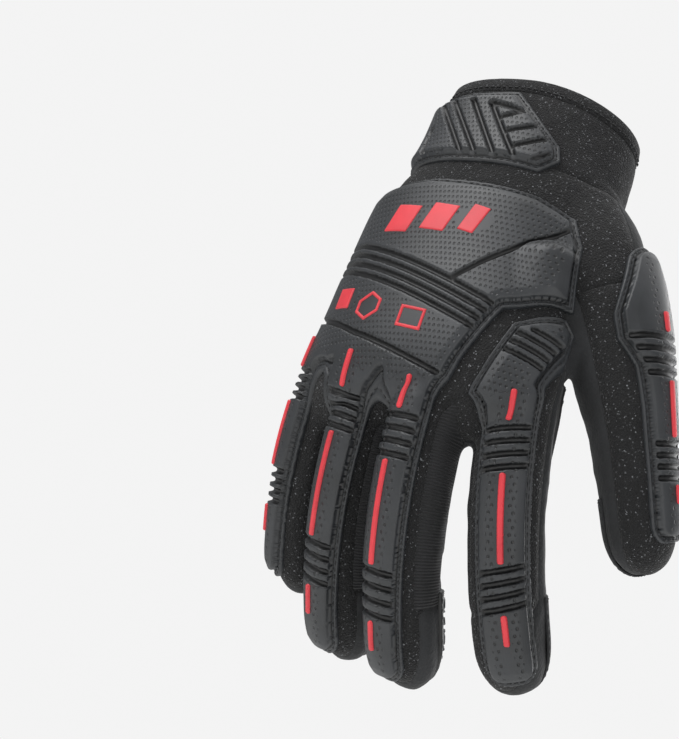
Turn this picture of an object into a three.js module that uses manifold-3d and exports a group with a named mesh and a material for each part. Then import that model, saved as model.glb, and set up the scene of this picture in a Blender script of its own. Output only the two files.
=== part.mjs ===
// A padded work glove for a right hand, in the form that it has when it is worn.
// The wrist opening is centred on the origin and faces +Z, the fingers point to -Z and curl
// towards +Y, the back of the hand faces -Y and the thumb leaves on the +X side.
import * as THREE from "three";
import { mergeVertices } from "three/addons/utils/BufferGeometryUtils.js";
import Module from "manifold-3d";

const wasm = await Module();
wasm.setup();

// Driving sizes, in millimetres and degrees.
const palmLength = 149;
const palmWidth = 112;
const palmDepth = 44;
const cuffLength = 36.5;
const hemWidth = 6;
const rimSlope = 3.5;
const rimTilt = 5;
const fabric = 2;
const gap = 0.3;

const fourchetteWidth = 18;
const thumbSeam = 0.3;

const flangeHeight = 1.6;
const flangeWidth = 2.4;
const guardHeight = 4;
const grooveDepth = 1.7;
const grooveWidth = 1.5;
const ribPitch = 3.6;
const bevel = 1;
const barWidth = 3;
const barHeight = 1;
const emblemHeight = 0.7;
const gripHeight = 1.6;
const patchHeight = 1;
const strapHeight = 4;
const tabThickness = 1.8;
const tabWidth = 22.5;
const tabReach = 15;

// How many sides the round forms have, outside and inside, and how far a cutter reaches.
const sidesOfPalm = { outside: 16, inside: 12 };
const sidesOfFinger = { outside: 10, inside: 8 };
const reach = 60;
const far = reach * 2;

const radians = THREE.MathUtils.degToRad;

// The palm tube, from the wrist opening to the web between the fingers. Each row is a level section:
// how far down it lies as a share of palmLength, then how far it reaches to each side as a share of
// palmWidth, and to the back and the front as a share of palmDepth. The drops are how far each side
// is bent towards the palm, as shares of palmDepth.
const palmSections = [
  { down: 0.0, ulnar: 0.355, radial: 0.376, back: 0.5, front: 0.54, dropUlnar: -0.04, dropRadial: 0.2 },
  { down: 0.2, ulnar: 0.36, radial: 0.395, back: 0.49, front: 0.555, dropUlnar: -0.03, dropRadial: 0.22 },
  { down: 0.347, ulnar: 0.425, radial: 0.43, back: 0.5, front: 0.58, dropUlnar: -0.02, dropRadial: 0.22 },
  { down: 0.541, ulnar: 0.467, radial: 0.445, back: 0.48, front: 0.54, dropUlnar: 0.08, dropRadial: 0.18 },
  { down: 0.72, ulnar: 0.49, radial: 0.468, back: 0.455, front: 0.47, dropUlnar: 0.165, dropRadial: 0.115 },
  { down: 0.87, ulnar: 0.494, radial: 0.472, back: 0.385, front: 0.39, dropUlnar: 0.18, dropRadial: 0.1 },
  { down: 0.955, ulnar: 0.455, radial: 0.44, back: 0.28, front: 0.315, dropUlnar: 0.16, dropRadial: 0.1 },
  { down: 1.0, ulnar: 0.37, radial: 0.38, back: 0.12, front: 0.18, dropUlnar: 0.1, dropRadial: 0.1 },
];

// Each digit starts inside the palm. across, out and down place its root as shares of palmWidth,
// palmDepth and palmLength. splay and lift are its first direction, sideways and towards the palm,
// sweep and curl are how much each turns by the tip, and twist turns its back about its own line.
const digits = {
  index: { across: 0.325, out: 0.06, down: 0.714, length: 131, width: 28.5, depth: 28.5,
    splay: 4, sweep: 4, lift: 8, curl: 44, twist: 18 },
  middle: { across: 0.08, out: -0.05, down: 0.745, length: 134, width: 27, depth: 26.5,
    splay: 1, sweep: 1, lift: -1, curl: 56, twist: -14 },
  ring: { across: -0.158, out: -0.01, down: 0.714, length: 132.5, width: 27, depth: 26.5,
    splay: -3, sweep: -1, lift: 3, curl: 54, twist: -16 },
  pinky: { across: -0.362, out: 0.1, down: 0.674, length: 112, width: 25.5, depth: 24,
    splay: -6, sweep: 4, lift: 6, curl: 40, twist: -42 },
  thumb: { across: 0.258, out: 0.15, down: 0.286, length: 147, width: 31, depth: 27,
    splay: 36, sweep: -26, lift: 8, curl: 28, twist: 84 },
};

// How full a digit is at shares of its length, as shares of its half width and half depth.
const fingerProfile = [
  { along: 0.0, wide: 1.0, deep: 1.0 },
  { along: 0.3, wide: 1.02, deep: 1.02 },
  { along: 0.58, wide: 1.0, deep: 1.0 },
  { along: 0.81, wide: 0.98, deep: 0.93 },
  { along: 0.935, wide: 0.8, deep: 0.71 },
  { along: 0.992, wide: 0.34, deep: 0.3 },
];
const thumbProfile = [
  { along: 0.0, wide: 1.0, deep: 1.35 },
  { along: 0.2, wide: 1.25, deep: 1.58 },
  { along: 0.42, wide: 1.19, deep: 1.4 },
  { along: 0.66, wide: 1.03, deep: 1.06 },
  { along: 0.85, wide: 0.98, deep: 0.93 },
  { along: 0.95, wide: 0.77, deep: 0.69 },
  { along: 0.994, wide: 0.34, deep: 0.3 },
];

// Joins rings of points, each with the same count, into a closed solid with flat ends.
function loft(rings) {
  const count = rings[0].length;
  const points = rings.flat();
  const triangles = [];
  const ends = [rings[0], rings[rings.length - 1]].map((ring) => {
    const centre = new THREE.Vector3();
    ring.forEach((point) => centre.addScaledVector(point, 1 / count));
    return points.push(centre) - 1;
  });
  for (let i = 0; i < count; i++) {
    const j = (i + 1) % count;
    const last = (rings.length - 1) * count;
    triangles.push([ends[0], j, i], [ends[1], last + i, last + j]);
    for (let r = 0; r + 1 < rings.length; r++) {
      const a = r * count;
      const b = a + count;
      triangles.push([a + i, a + j, b + j], [a + i, b + j, b + i]);
    }
  }
  return solid(points, triangles);
}

// A manifold-3d solid from points and triangles, turned so that it faces out.
function solid(points, triangles) {
  const build = (triVerts) =>
    new wasm.Manifold(
      new wasm.Mesh({
        numProp: 3,
        vertProperties: Float32Array.from(points.flatMap((p) => [p.x, p.y, p.z])),
        triVerts: Uint32Array.from(triVerts.flat()),
      }),
    );
  const made = build(triangles);
  return made.volume() < 0 ? build(triangles.map(([a, b, c]) => [a, c, b])) : made;
}

// The power of the rounded-square sections of the palm: 2 would be an ellipse.
const squareness = 2.3;
const powered = (value) => Math.sign(value) * Math.abs(value) ** (2 / squareness);

// One level ring of the palm, grown outwards by an offset.
function palmRing(row, offset, down) {
  const count = offset < 0 ? sidesOfPalm.inside : sidesOfPalm.outside;
  return Array.from({ length: count }, (_, i) => {
    const angle = ((i + 0.5) / count) * 2 * Math.PI;
    const side = (Math.cos(angle) > 0 ? row.radial : row.ulnar) * palmWidth + offset;
    const face = (Math.sin(angle) > 0 ? row.front : row.back) * palmDepth + offset;
    const drop = (Math.cos(angle) > 0 ? row.dropRadial : row.dropUlnar) * palmDepth;
    const across = powered(Math.cos(angle));
    return new THREE.Vector3(
      side * across,
      face * powered(Math.sin(angle)) + drop * across ** 2,
      -down,
    );
  });
}

function palmSolid(offset) {
  const rings = palmSections.map((row, i) => {
    const isEnd = i === palmSections.length - 1;
    return palmRing(row, offset, row.down * palmLength + (isEnd ? offset : 0));
  });
  rings[0].forEach((point) => (point.z = reach));
  return loft(rings);
}

// The line that a digit follows: points and directions at even steps from root to tip.
function spineOf(digit) {
  const steps = 24;
  const at = new THREE.Vector3(
    digit.across * palmWidth,
    digit.out * palmDepth,
    -digit.down * palmLength,
  );
  const spine = [];
  for (let i = 0; i <= steps; i++) {
    const t = i / steps;
    const yaw = radians(digit.splay + digit.sweep * t);
    const pitch = radians(digit.lift + digit.curl * t ** 1.2);
    const ahead = new THREE.Vector3(
      Math.sin(yaw) * Math.cos(pitch),
      Math.sin(pitch),
      -Math.cos(yaw) * Math.cos(pitch),
    );
    spine.push({ at: at.clone(), ahead });
    at.addScaledVector(ahead, digit.length / steps);
  }
  return spine;
}

// The place, direction and cross axes of a digit at a share of its length.
function stationOf(digit, along, twist = digit.twist) {
  const spine = digit.spine;
  const within = THREE.MathUtils.clamp(along, 0, 1);
  const place = within * (spine.length - 1);
  const i = Math.min(Math.floor(place), spine.length - 2);
  const at = spine[i].at.clone().lerp(spine[i + 1].at, place - i);
  const ahead = spine[i].ahead.clone().lerp(spine[i + 1].ahead, place - i).normalize();
  at.addScaledVector(ahead, (along - within) * digit.length);
  const turn = radians(twist);
  const facing = new THREE.Vector3(Math.sin(turn), -Math.cos(turn), 0);
  const side = new THREE.Vector3().crossVectors(facing, ahead).negate().normalize();
  const back = new THREE.Vector3().crossVectors(side, ahead).normalize();
  return { at, ahead, side, back };
}

// A point out from a digit's surface by a height, at an angle from the middle of its back.
function surfacePoint(digit, along, angle, height) {
  const { at, side, back } = stationOf(digit, along);
  const rows = digit.profile;
  const next = Math.max(rows.findIndex((row) => row.along >= along), 1);
  const [a, b] = [rows[next - 1], rows[next]];
  const t = (along - a.along) / (b.along - a.along);
  const wide = (digit.width / 2) * THREE.MathUtils.lerp(a.wide, b.wide, t) + height;
  const deep = (digit.depth / 2) * THREE.MathUtils.lerp(a.deep, b.deep, t) + height;
  return at.addScaledVector(side, wide * Math.sin(angle)).addScaledVector(back, deep * Math.cos(angle));
}

for (const name of Object.keys(digits)) {
  digits[name].spine = spineOf(digits[name]);
  digits[name].profile = name === "thumb" ? thumbProfile : fingerProfile;
}

function digitSolid(digit, offset) {
  const count = offset < 0 ? sidesOfFinger.inside : sidesOfFinger.outside;
  const rings = digit.profile.map((row, r) => {
    const last = r >= digit.profile.length - 2 ? offset / digit.length : 0;
    const { at, side, back } = stationOf(digit, row.along + last);
    return Array.from({ length: count }, (_, i) => {
      const angle = ((i + 0.5) / count) * 2 * Math.PI;
      return at
        .clone()
        .addScaledVector(side, ((digit.width / 2) * row.wide + offset) * Math.cos(angle))
        .addScaledVector(back, ((digit.depth / 2) * row.deep + offset) * Math.sin(angle));
    });
  });
  return loft(rings);
}

// The whole hand grown by an offset, on past the wrist opening. Each size is worked out once.
const hands = new Map();
function hand(offset) {
  if (!hands.has(offset))
    hands.set(
      offset,
      Object.values(digits).reduce((all, digit) => all.add(digitSolid(digit, offset)), palmSolid(offset)),
    );
  return hands.get(offset);
}

// What lies between two sizes of the hand, inside a cutter.
const layer = (low, high, cutter) => hand(high).subtract(hand(low)).intersect(cutter);

// A prism from an outline of [first, second] points. It runs along Y with the outline as X and Z,
// or along X with the outline as Y and Z.
function prism(outline, from, to, axis = "y") {
  const shape = new THREE.Shape(outline.map(([first, second]) => new THREE.Vector2(first, second)));
  const block = new THREE.ExtrudeGeometry(shape, { depth: to - from, bevelEnabled: false });
  block.deleteAttribute("normal").deleteAttribute("uv");
  const welded = mergeVertices(block, 1e-4);
  const place = welded.attributes.position;
  const points = Array.from({ length: place.count }, (_, i) => {
    const along = place.getZ(i) + from;
    return axis === "y"
      ? new THREE.Vector3(place.getX(i), along, place.getY(i))
      : new THREE.Vector3(along, place.getX(i), place.getY(i));
  });
  const index = Array.from(welded.index.array);
  return solid(
    points,
    index.flatMap((_, i) => (i % 3 ? [] : [[index[i], index[i + 1], index[i + 2]]])),
  );
}

// Outline points given as shares of the palm's width and length, across and down.
const onPalm = (points) => points.map(([across, down]) => [across * palmWidth, -down * palmLength]);

// The same outline moved inwards by a distance.
function inset(outline, distance) {
  const count = outline.length;
  const area = outline.reduce((sum, [x, z], i) => {
    const [nextX, nextZ] = outline[(i + 1) % count];
    return sum + x * nextZ - nextX * z;
  }, 0);
  const inwards = Math.sign(area);
  return outline.map((point, i) => {
    const here = new THREE.Vector2(...point);
    const before = here.clone().sub(new THREE.Vector2(...outline[(i + count - 1) % count])).normalize();
    const after = new THREE.Vector2(...outline[(i + 1) % count]).sub(here).normalize();
    const mitre = before.clone().add(after).normalize();
    const spread = distance / Math.max(mitre.dot(before), 0.4);
    return [here.x - inwards * mitre.y * spread, here.y + inwards * mitre.x * spread];
  });
}

// The outline of a line of points drawn with a width.
function ribbon(line, width) {
  const sides = line.map((point, i) => {
    const back = new THREE.Vector2(...line[Math.max(i - 1, 0)]);
    const ahead = new THREE.Vector2(...line[Math.min(i + 1, line.length - 1)]);
    const along = ahead.sub(back).normalize();
    const shift = [-along.y * (width / 2), along.x * (width / 2)];
    return [
      [point[0] + shift[0], point[1] + shift[1]],
      [point[0] - shift[0], point[1] - shift[1]],
    ];
  });
  return [...sides.map(([left]) => left), ...sides.map(([, right]) => right).reverse()];
}

// A cutter that follows a digit. Each row says how far along it lies and how far it reaches to the
// digit's two sides, and low and high are its limits out from the digit's own line.
function strip(digit, rows, low, high, twist = digit.twist) {
  return loft(
    rows.map(([along, left, right]) => {
      const { at, side, back } = stationOf(digit, along, twist);
      const corner = (across, out) => at.clone().addScaledVector(side, across).addScaledVector(back, out);
      return [corner(left, low), corner(left, high), corner(-right, high), corner(-right, low)];
    }),
  );
}

// Even rows for a strip between two places along a digit.
function evenRows(from, to, left, right, steps = 5) {
  return Array.from({ length: steps + 1 }, (_, i) => [from + ((to - from) * i) / steps, left, right]);
}

// The triangles of the largest body among those given: a cut can leave slivers beside it.
function largestBody(vertexCount, triangles) {
  const parent = Array.from({ length: vertexCount }, (_, i) => i);
  const bodyOf = (i) => {
    while (parent[i] !== i) i = parent[i];
    return i;
  };
  for (const [a, b, c] of triangles) {
    parent[bodyOf(b)] = bodyOf(a);
    parent[bodyOf(c)] = bodyOf(a);
  }
  const bodies = new Map();
  for (const triangle of triangles) {
    const body = bodyOf(triangle[0]);
    bodies.set(body, [...(bodies.get(body) ?? []), triangle]);
  }
  return [...bodies.values()].reduce((best, body) => (body.length > best.length ? body : best));
}

function meshOf(name, made, material) {
  const { numVert, numProp, vertProperties, triVerts } = made.getMesh();
  const triangles = Array.from({ length: triVerts.length / 3 }, (_, i) => triVerts.slice(i * 3, i * 3 + 3));
  const kept = largestBody(numVert, triangles).flatMap((triangle) => [...triangle]);
  const used = [...new Set(kept)];
  const order = new Map(used.map((vertex, i) => [vertex, i]));
  const position = used.flatMap((i) => [...vertProperties.slice(i * numProp, i * numProp + 3)]);
  const geometry = new THREE.BufferGeometry()
    .setAttribute("position", new THREE.Float32BufferAttribute(position, 3))
    .setIndex(kept.map((vertex) => order.get(vertex)));
  const mesh = new THREE.Mesh(geometry, material);
  mesh.name = name;
  return mesh;
}

const finish = (color, roughness) => new THREE.MeshStandardMaterial({ color, roughness, metalness: 0 });
const terry = finish(0x1b1b1d, 0.95);
const leather = finish(0x232325, 0.8);
const ribbed = finish(0x19191b, 0.9);
const neoprene = finish(0x1d1d1f, 0.95);
const rubber = finish(0x2e3033, 0.5);
const silicone = finish(0x26272a, 0.6);
const red = finish(0xd81e2c, 0.45);

const glove = new THREE.Group();
const add = (name, made, material) => glove.add(meshOf(name, made, material));
const join = (solids) => solids.reduce((all, next) => all.add(next));

// The space below the wrist opening, less a margin. The opening is a little lower at the thumb's side
// and at the palm.
function belowRim(margin) {
  const square = [[-far, -far], [far, -far], [far, far], [-far, far]];
  const top = square.map(([x, y]) => {
    const lowered = rimSlope * (x / palmWidth) * 2 + rimTilt * (y / palmDepth);
    return new THREE.Vector3(x, y, -lowered - margin);
  });
  return loft([top, top.map(({ x, y }) => new THREE.Vector3(x, y, -far * 3))]);
}

// The space above a level line.
const above = (z) => prism([[-far, z], [far, z], [far, far * 2], [-far, far * 2]], -far, far);

const shell = layer(-fabric, 0, belowRim(0));

// A digit's line seen from the side, as Y and Z, moved towards its back by a distance at each place.
function sideLine(digit, places, shiftAt) {
  return places.map((along, i) => {
    const { at, ahead } = stationOf(digit, along);
    const level = Math.hypot(ahead.y, ahead.z);
    return [at.y + (ahead.z / level) * shiftAt(i), at.z - (ahead.y / level) * shiftAt(i)];
  });
}

// A line between two digits, seen from the back, as X and Z. A share a little over a half makes the
// cutters of neighbouring digits overlap, so that they join.
const overHalf = 0.52;
function lineBetween(one, other, share = overHalf) {
  return [0, 1.3].map((along) => {
    const { x, z } = stationOf(one, along).at.lerp(stationOf(other, along).at, share);
    return [x, z];
  });
}
const { index, middle, ring, pinky, thumb } = digits;
const outerSide = (side) => [
  [side * far, -palmLength],
  [side * far, -reach * 5],
];
const lanes = [
  { digit: pinky, sides: [outerSide(-1), lineBetween(pinky, ring)] },
  { digit: ring, sides: [lineBetween(ring, pinky), lineBetween(ring, middle)] },
  { digit: middle, sides: [lineBetween(middle, ring), lineBetween(middle, index)] },
  { digit: index, sides: [lineBetween(index, middle), outerSide(1)] },
];

const seamPlaces = [0, 0.3, 0.58, 0.81, 1.3];

// The palm's side of the seam between the back and the palm, which follows each finger's own line.
function frontOf(shift) {
  return join(
    lanes.map(({ digit, sides: [left, right] }) => {
      const line = sideLine(digit, seamPlaces, () => -shift);
      const front = prism(
        [[line[0][0], far], ...line, [reach * 3, line[line.length - 1][1]], [reach * 3, far]],
        -far,
        far,
        "x",
      );
      const lane = [[left[0][0], far], ...left, ...[...right].reverse(), [right[0][0], far]];
      return front.intersect(prism(lane, -reach * 3, reach * 3));
    }),
  );
}

// The strips between two fingers: on each finger a band about the seam, out to the line between them.
const fourchettePlaces = [0, 0.3, 0.58, 0.86];
function fourchetteCutter(one, other, margin) {
  const halfAt = (i) => (fourchetteWidth / 2) * (1 - 0.17 * i) + margin;
  return join(
    [[one, other], [other, one]].map(([digit, beside]) => {
      const places = fourchettePlaces.map((along) => along + (along > 0.8 ? margin / digit.length : 0));
      const edges = [1, -1].map((side) => sideLine(digit, places, (i) => side * halfAt(i)));
      const band = prism([...edges[0], ...edges[1].reverse()], -far, far, "x");
      const line = places.map((along) => stationOf(digit, along).at).map(({ x, z }) => [x, z]);
      return band.intersect(prism([...line, ...lineBetween(digit, beside).reverse()], -reach * 3, reach * 3));
    }),
  );
}
const fourchettes = {
  fourchette_index_middle: [middle, index],
  fourchette_middle_ring: [ring, middle],
  fourchette_ring_pinky: [pinky, ring],
};

// The thumb is set in: its own two panels meet the hand along a seam around its root.
const thumbRegion = (margin) =>
  digitSolid(digits.thumb, 5 + margin).intersect(
    strip(digits.thumb, evenRows(thumbSeam - margin / digits.thumb.length, 1.2, reach, reach), -reach, reach),
  );
const thumbBack = (low) => strip(digits.thumb, evenRows(-0.2, 1.2, reach, reach), low, reach);

const hem = belowRim(0).subtract(belowRim(hemWidth));
add("cuff_hem", shell.intersect(hem), neoprene);
add("cuff", shell.intersect(above(-cuffLength)).intersect(belowRim(hemWidth + gap)), neoprene);

const body = shell.subtract(above(-cuffLength - gap));
const thumbShell = body.intersect(thumbRegion(0));
add("thumb_back", thumbShell.intersect(thumbBack(gap)), terry);
add("thumb_front", thumbShell.subtract(thumbBack(0)), leather);

const strips = Object.entries(fourchettes).map(([name, [one, other]]) => {
  add(name, body.intersect(fourchetteCutter(one, other, 0)), ribbed);
  return fourchetteCutter(one, other, gap);
});
const main = body.subtract(join([thumbRegion(gap), ...strips]));
add("back_panel", main.subtract(frontOf(-gap / 2)), terry);
add("palm_panel", main.intersect(frontOf(gap / 2)), leather);


// Moulded guards. Each has a low flange that is sewn down, and a raised body with ribs across it
// where the hand bends, and seats for the red bars.
// The outlines on the back are shares of the palm's width and length, across and down.
const plateOutline = onPalm([
  [-0.5, 0.345], [-0.15, 0.325], [0.24, 0.35], [0.37, 0.38], [0.43, 0.46], [0.455, 0.63], [0.275, 0.69],
  [0.17, 0.9], [0.1, 0.94], [-0.04, 0.94], [-0.075, 0.905], [-0.11, 0.93], [-0.2, 0.91], [-0.27, 0.855],
  [-0.33, 0.88], [-0.5, 0.83],
]);
const indexHeadOutline = onPalm([
  [0.32, 0.72], [0.44, 0.655], [0.49, 0.7], [0.45, 0.88], [0.42, 0.95], [0.31, 0.95], [0.25, 0.925],
]);
const upperGroove = onPalm([[-0.52, 0.5], [-0.35, 0.53], [0.265, 0.7]]);
const chevronGroove = onPalm([[0.08, 0.645], [0.37, 0.425], [0.5, 0.42]]);
const lowerGroove = onPalm([[-0.52, 0.7], [-0.23, 0.803], [0.2, 0.91]]);
const ribsAcrossBack = 4;

// Along each digit, as shares of its length. halves is where its guard starts, changes its width and
// ends, each with the half widths on the digit's two sides. bends is where the guard bends with the
// digit, ribs are the groups of ribs and bars are the red bars.
const fingerBends = [0.3, 0.58, 0.81];
const guards = {
  index: { digit: index, halves: [[0.14, 10.2, 10.2], [0.94, 10.2, 10.2]], bends: fingerBends,
    ribs: [[0.28, 0.38], [0.635, 0.73]], bars: [[0.18, 0.262], [0.395, 0.62], [0.745, 0.825]] },
  middle: { digit: middle, halves: [[0.13, 10, 10], [0.95, 10, 10]], bends: fingerBends,
    ribs: [[0.28, 0.38], [0.665, 0.77]], bars: [[0.17, 0.265], [0.395, 0.65], [0.785, 0.86]] },
  ring: { digit: ring, halves: [[0.13, 10, 10], [0.945, 10, 10]], bends: fingerBends,
    ribs: [[0.25, 0.34], [0.64, 0.735]], bars: [[0.14, 0.235], [0.355, 0.625], [0.75, 0.83]] },
  pinky: { digit: pinky, halves: [[0.13, 9.5, 9.5], [0.93, 9.5, 9.5]], bends: fingerBends,
    ribs: [[0.255, 0.34], [0.585, 0.68]], bars: [[0.13, 0.24], [0.355, 0.57], [0.695, 0.785]] },
  thumb: { digit: thumb,
    halves: [[0.2, 6, 6], [0.3, 11, 10], [0.38, 15.5, 11], [0.44, 15.5, 11], [0.51, 11, 10],
      [0.6, 10, 10], [0.92, 10, 10]],
    bends: [0.3, 0.38, 0.44, 0.51, 0.6, 0.8],
    ribs: [[0.44, 0.525], [0.69, 0.77]], bars: [[0.375, 0.425], [0.54, 0.675], [0.785, 0.83]] },
};
const ribsInGroup = 3;

// A value between the rows of a table whose first column rises.
function between(rows, place, column) {
  const next = THREE.MathUtils.clamp(rows.findIndex((row) => row[0] >= place), 1, rows.length - 1);
  const [a, b] = [rows[next - 1], rows[next]];
  const t = THREE.MathUtils.clamp((place - a[0]) / (b[0] - a[0]), 0, 1);
  return THREE.MathUtils.lerp(a[column], b[column], t);
}

// The part of a guard that lies along a digit: a flange to each side of a raised body.
function guardStrip({ digit, halves, bends }) {
  const facet = (2 * Math.PI) / sidesOfFinger.outside;
  const seat = gap * 1.5;
  const radius = digit.width / 2;
  const [from, to] = [halves[0][0], halves[halves.length - 1][0]];
  const foot = flangeWidth / digit.length;
  const rise = (flangeWidth + bevel) / digit.length;
  const rows = [
    { along: from, height: flangeHeight },
    { along: from + foot, height: flangeHeight },
    { along: from + rise, height: guardHeight },
    ...bends.map((along) => ({ along, height: guardHeight })),
    { along: to - rise, height: guardHeight },
    { along: to - foot, height: flangeHeight },
    { along: to, height: flangeHeight },
  ];
  return loft(
    rows.map(({ along, height }) => {
      const half = (sign) => between(halves, along, sign > 0 ? 1 : 2) / radius;
      const edge = (inwards, out, sign) =>
        surfacePoint(digit, along, sign * (half(sign) - inwards / radius), out);
      const under = (sign) => surfacePoint(digit, along, sign * Math.min(facet, half(sign) * 0.85), seat);
      return [
        edge(0, seat, 1), under(1), surfacePoint(digit, along, 0, seat), under(-1), edge(0, seat, -1),
        edge(0, flangeHeight, -1), edge(flangeWidth, flangeHeight, -1), edge(flangeWidth + bevel, height, -1),
        surfacePoint(digit, along, 0, height),
        edge(flangeWidth + bevel, height, 1), edge(flangeWidth, flangeHeight, 1), edge(0, flangeHeight, 1),
      ];
    }),
  );
}

// Grooves across a guard, with a V section, so that ribs stand between them.
function groovesOf({ digit, halves, ribs }) {
  const slope = grooveWidth / digit.length;
  return ribs.flatMap(([from, to]) =>
    Array.from({ length: ribsInGroup }, (_, i) => {
      const along = from + ((to - from) * i) / (ribsInGroup - 1);
      const past = 1.15;
      const left = (between(halves, along, 1) - flangeWidth) / (digit.width / 2);
      const right = (between(halves, along, 2) - flangeWidth) / (digit.width / 2);
      return loft(
        [-right * past, 0, left * past].map((angle) => [
          surfacePoint(digit, along, angle, guardHeight - grooveDepth),
          surfacePoint(digit, along + slope, angle, guardHeight + grooveDepth),
          surfacePoint(digit, along - slope, angle, guardHeight + grooveDepth),
        ]),
      );
    }),
  );
}

// A block along the middle of a guard, between two heights out from the digit and bent where it is.
function block([from, to], { digit, bends }, half, low, high) {
  const places = [from, ...bends.filter((along) => along > from && along < to), to];
  return loft(
    places.map((along) => {
      const { side } = stationOf(digit, along);
      const corner = (across, out) => surfacePoint(digit, along, 0, out).addScaledVector(side, across);
      return [corner(half, low), corner(half, high), corner(-half, high), corner(-half, low)];
    }),
  );
}

// The first bar on a guard that starts at the plate lies over both, so it follows whichever is higher.
const barLow = guardHeight + gap;
function barOverPlate([from, to], guard) {
  const longer = barWidth / guard.digit.length;
  const depth = -guard.digit.depth / 4;
  const upTo = (height) =>
    block([from - longer, to + longer], guard, barWidth, depth, height).add(hand(height));
  const within = block([from, to], guard, barWidth / 2, depth, guardHeight * 3);
  return upTo(barLow + barHeight).subtract(upTo(barLow)).intersect(within);
}
const barOn = (bar, guard) => block(bar, guard, barWidth / 2, barLow, barLow + barHeight);

const acrossBack = (outline) => prism(outline, -reach, 2);
const grooveOnBack = (line) =>
  acrossBack(ribbon(line, grooveWidth)).subtract(hand(guardHeight - grooveDepth));

// A guard from its outline on the back of the hand, the digits that it reaches along, and its grooves.
function guardOf(outline, reached, grooves) {
  const plate = outline
    ? [
        layer(gap, flangeHeight, acrossBack(outline)),
        layer(gap, guardHeight, acrossBack(inset(outline, flangeWidth))),
      ]
    : [];
  const strips = reached.map((guard) => guardStrip(guard).subtract(hand(gap)));
  return join([...plate, ...strips]).subtract(join([...grooves, ...reached.flatMap(groovesOf)]));
}
const bandGrooves = Array.from({ length: ribsAcrossBack }, (_, i) =>
  upperGroove.map(([x, z]) => [x - i * 1.2, z - i * ribPitch]),
);
const plateGrooves = [...bandGrooves, chevronGroove, lowerGroove].map(grooveOnBack);
add("guard_back", guardOf(plateOutline, [guards.middle, guards.ring, guards.pinky], plateGrooves), rubber);
add("guard_index", guardOf(indexHeadOutline, [guards.index], []), rubber);
add("guard_thumb", guardOf(null, [guards.thumb], []), rubber);
for (const [name, guard] of Object.entries(guards))
  guard.bars.forEach((bar, i) => {
    const overPlate = i === 0 && name !== "thumb";
    add(`bar_${name}_${i + 1}`, overPlate ? barOverPlate(bar, guard) : barOn(bar, guard), red);
  });

// Three slanted red bars on the plate, and three small plain badges on the panel below it.
const onPlate = (outline) =>
  layer(guardHeight + gap, guardHeight + gap + emblemHeight, acrossBack(onPalm(outline)));
const emblemBars = [
  { across: -0.27, width: 0.1 },
  { across: -0.12, width: 0.1 },
  { across: 0.03, width: 0.06 },
];
emblemBars.forEach(({ across: a, width }, i) => {
  const outline = [[a, 0.5], [a + 0.03, 0.42], [a + 0.03 + width, 0.43], [a + width, 0.51]];
  add(`emblem_bar_${i + 1}`, onPlate(outline), red);
});
const badges = [
  [[-0.37, 0.66], [-0.3, 0.67], [-0.3, 0.73], [-0.37, 0.72]],
  [[-0.2, 0.69], [-0.15, 0.715], [-0.15, 0.75], [-0.2, 0.775], [-0.25, 0.75], [-0.25, 0.715]],
  [[-0.06, 0.73], [0.04, 0.74], [0.04, 0.8], [-0.06, 0.79]],
];
badges.forEach((outline, i) => add(`badge_${i + 1}`, onPlate(outline), rubber));

// Grip pads on the palm, sewn on and moulded with raised blocks.
const acrossFront = (outline) => prism(outline, 4, reach);
const barOutline = onPalm([
  [-0.46, 0.86], [-0.42, 0.91], [-0.31, 0.85], [-0.184, 0.955], [-0.05, 0.9], [0.086, 0.975], [0.24, 0.93],
  [0.44, 0.96], [0.47, 0.8], [0.33, 0.755], [-0.07, 0.77], [-0.386, 0.695], [-0.45, 0.74],
]);
const ulnarPadOutline = onPalm([
  [-0.39, 0.69], [-0.15, 0.69], [-0.13, 0.66], [-0.116, 0.453], [-0.08, 0.369], [-0.1, 0.305],
  [-0.228, 0.268], [-0.34, 0.285], [-0.39, 0.36], [-0.43, 0.6],
]);
const thumbPadOutline = onPalm([
  [0.0, 0.71], [0.11, 0.732], [0.32, 0.725], [0.385, 0.67], [0.35, 0.522], [0.29, 0.355], [0.23, 0.32],
  [0.107, 0.322], [0.04, 0.353], [-0.036, 0.486], [-0.049, 0.62],
]);
const onIndex = strip(index, evenRows(0.12, 0.62, 12, 12, 3), -reach / 2, -3, 0);
add("grip_palm", layer(gap, gripHeight, acrossFront(barOutline).add(onIndex)), silicone);
add("grip_heel_ulnar", layer(gap, gripHeight, acrossFront(ulnarPadOutline)), silicone);
add("grip_heel_thumb", layer(gap, gripHeight, acrossFront(thumbPadOutline)), silicone);

// Patches on the palm's side of the finger tips.
const tips = [
  { name: "grip_tip_pinky", digit: pinky, start: 0.71, height: gripHeight, material: silicone, facing: -10 },
  { name: "grip_tip_ring", digit: ring, start: 0.72, height: gripHeight, material: silicone, facing: 0 },
  { name: "grip_tip_middle", digit: middle, start: 0.72, height: gripHeight, material: silicone, facing: 0 },
  { name: "tip_patch_index", digit: index, start: 0.72, height: patchHeight, material: leather, facing: 0 },
  { name: "tip_patch_thumb", digit: thumb, start: 0.8, height: patchHeight, material: leather, facing: 60 },
];
for (const { name, digit, start, height, material, facing } of tips) {
  const half = digit.width / 2;
  const cutter = strip(digit, evenRows(start, 1.15, half, half, 1), -reach / 2, -2, facing);
  add(name, digitSolid(digit, height).subtract(hand(gap)).intersect(cutter), material);
}

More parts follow.
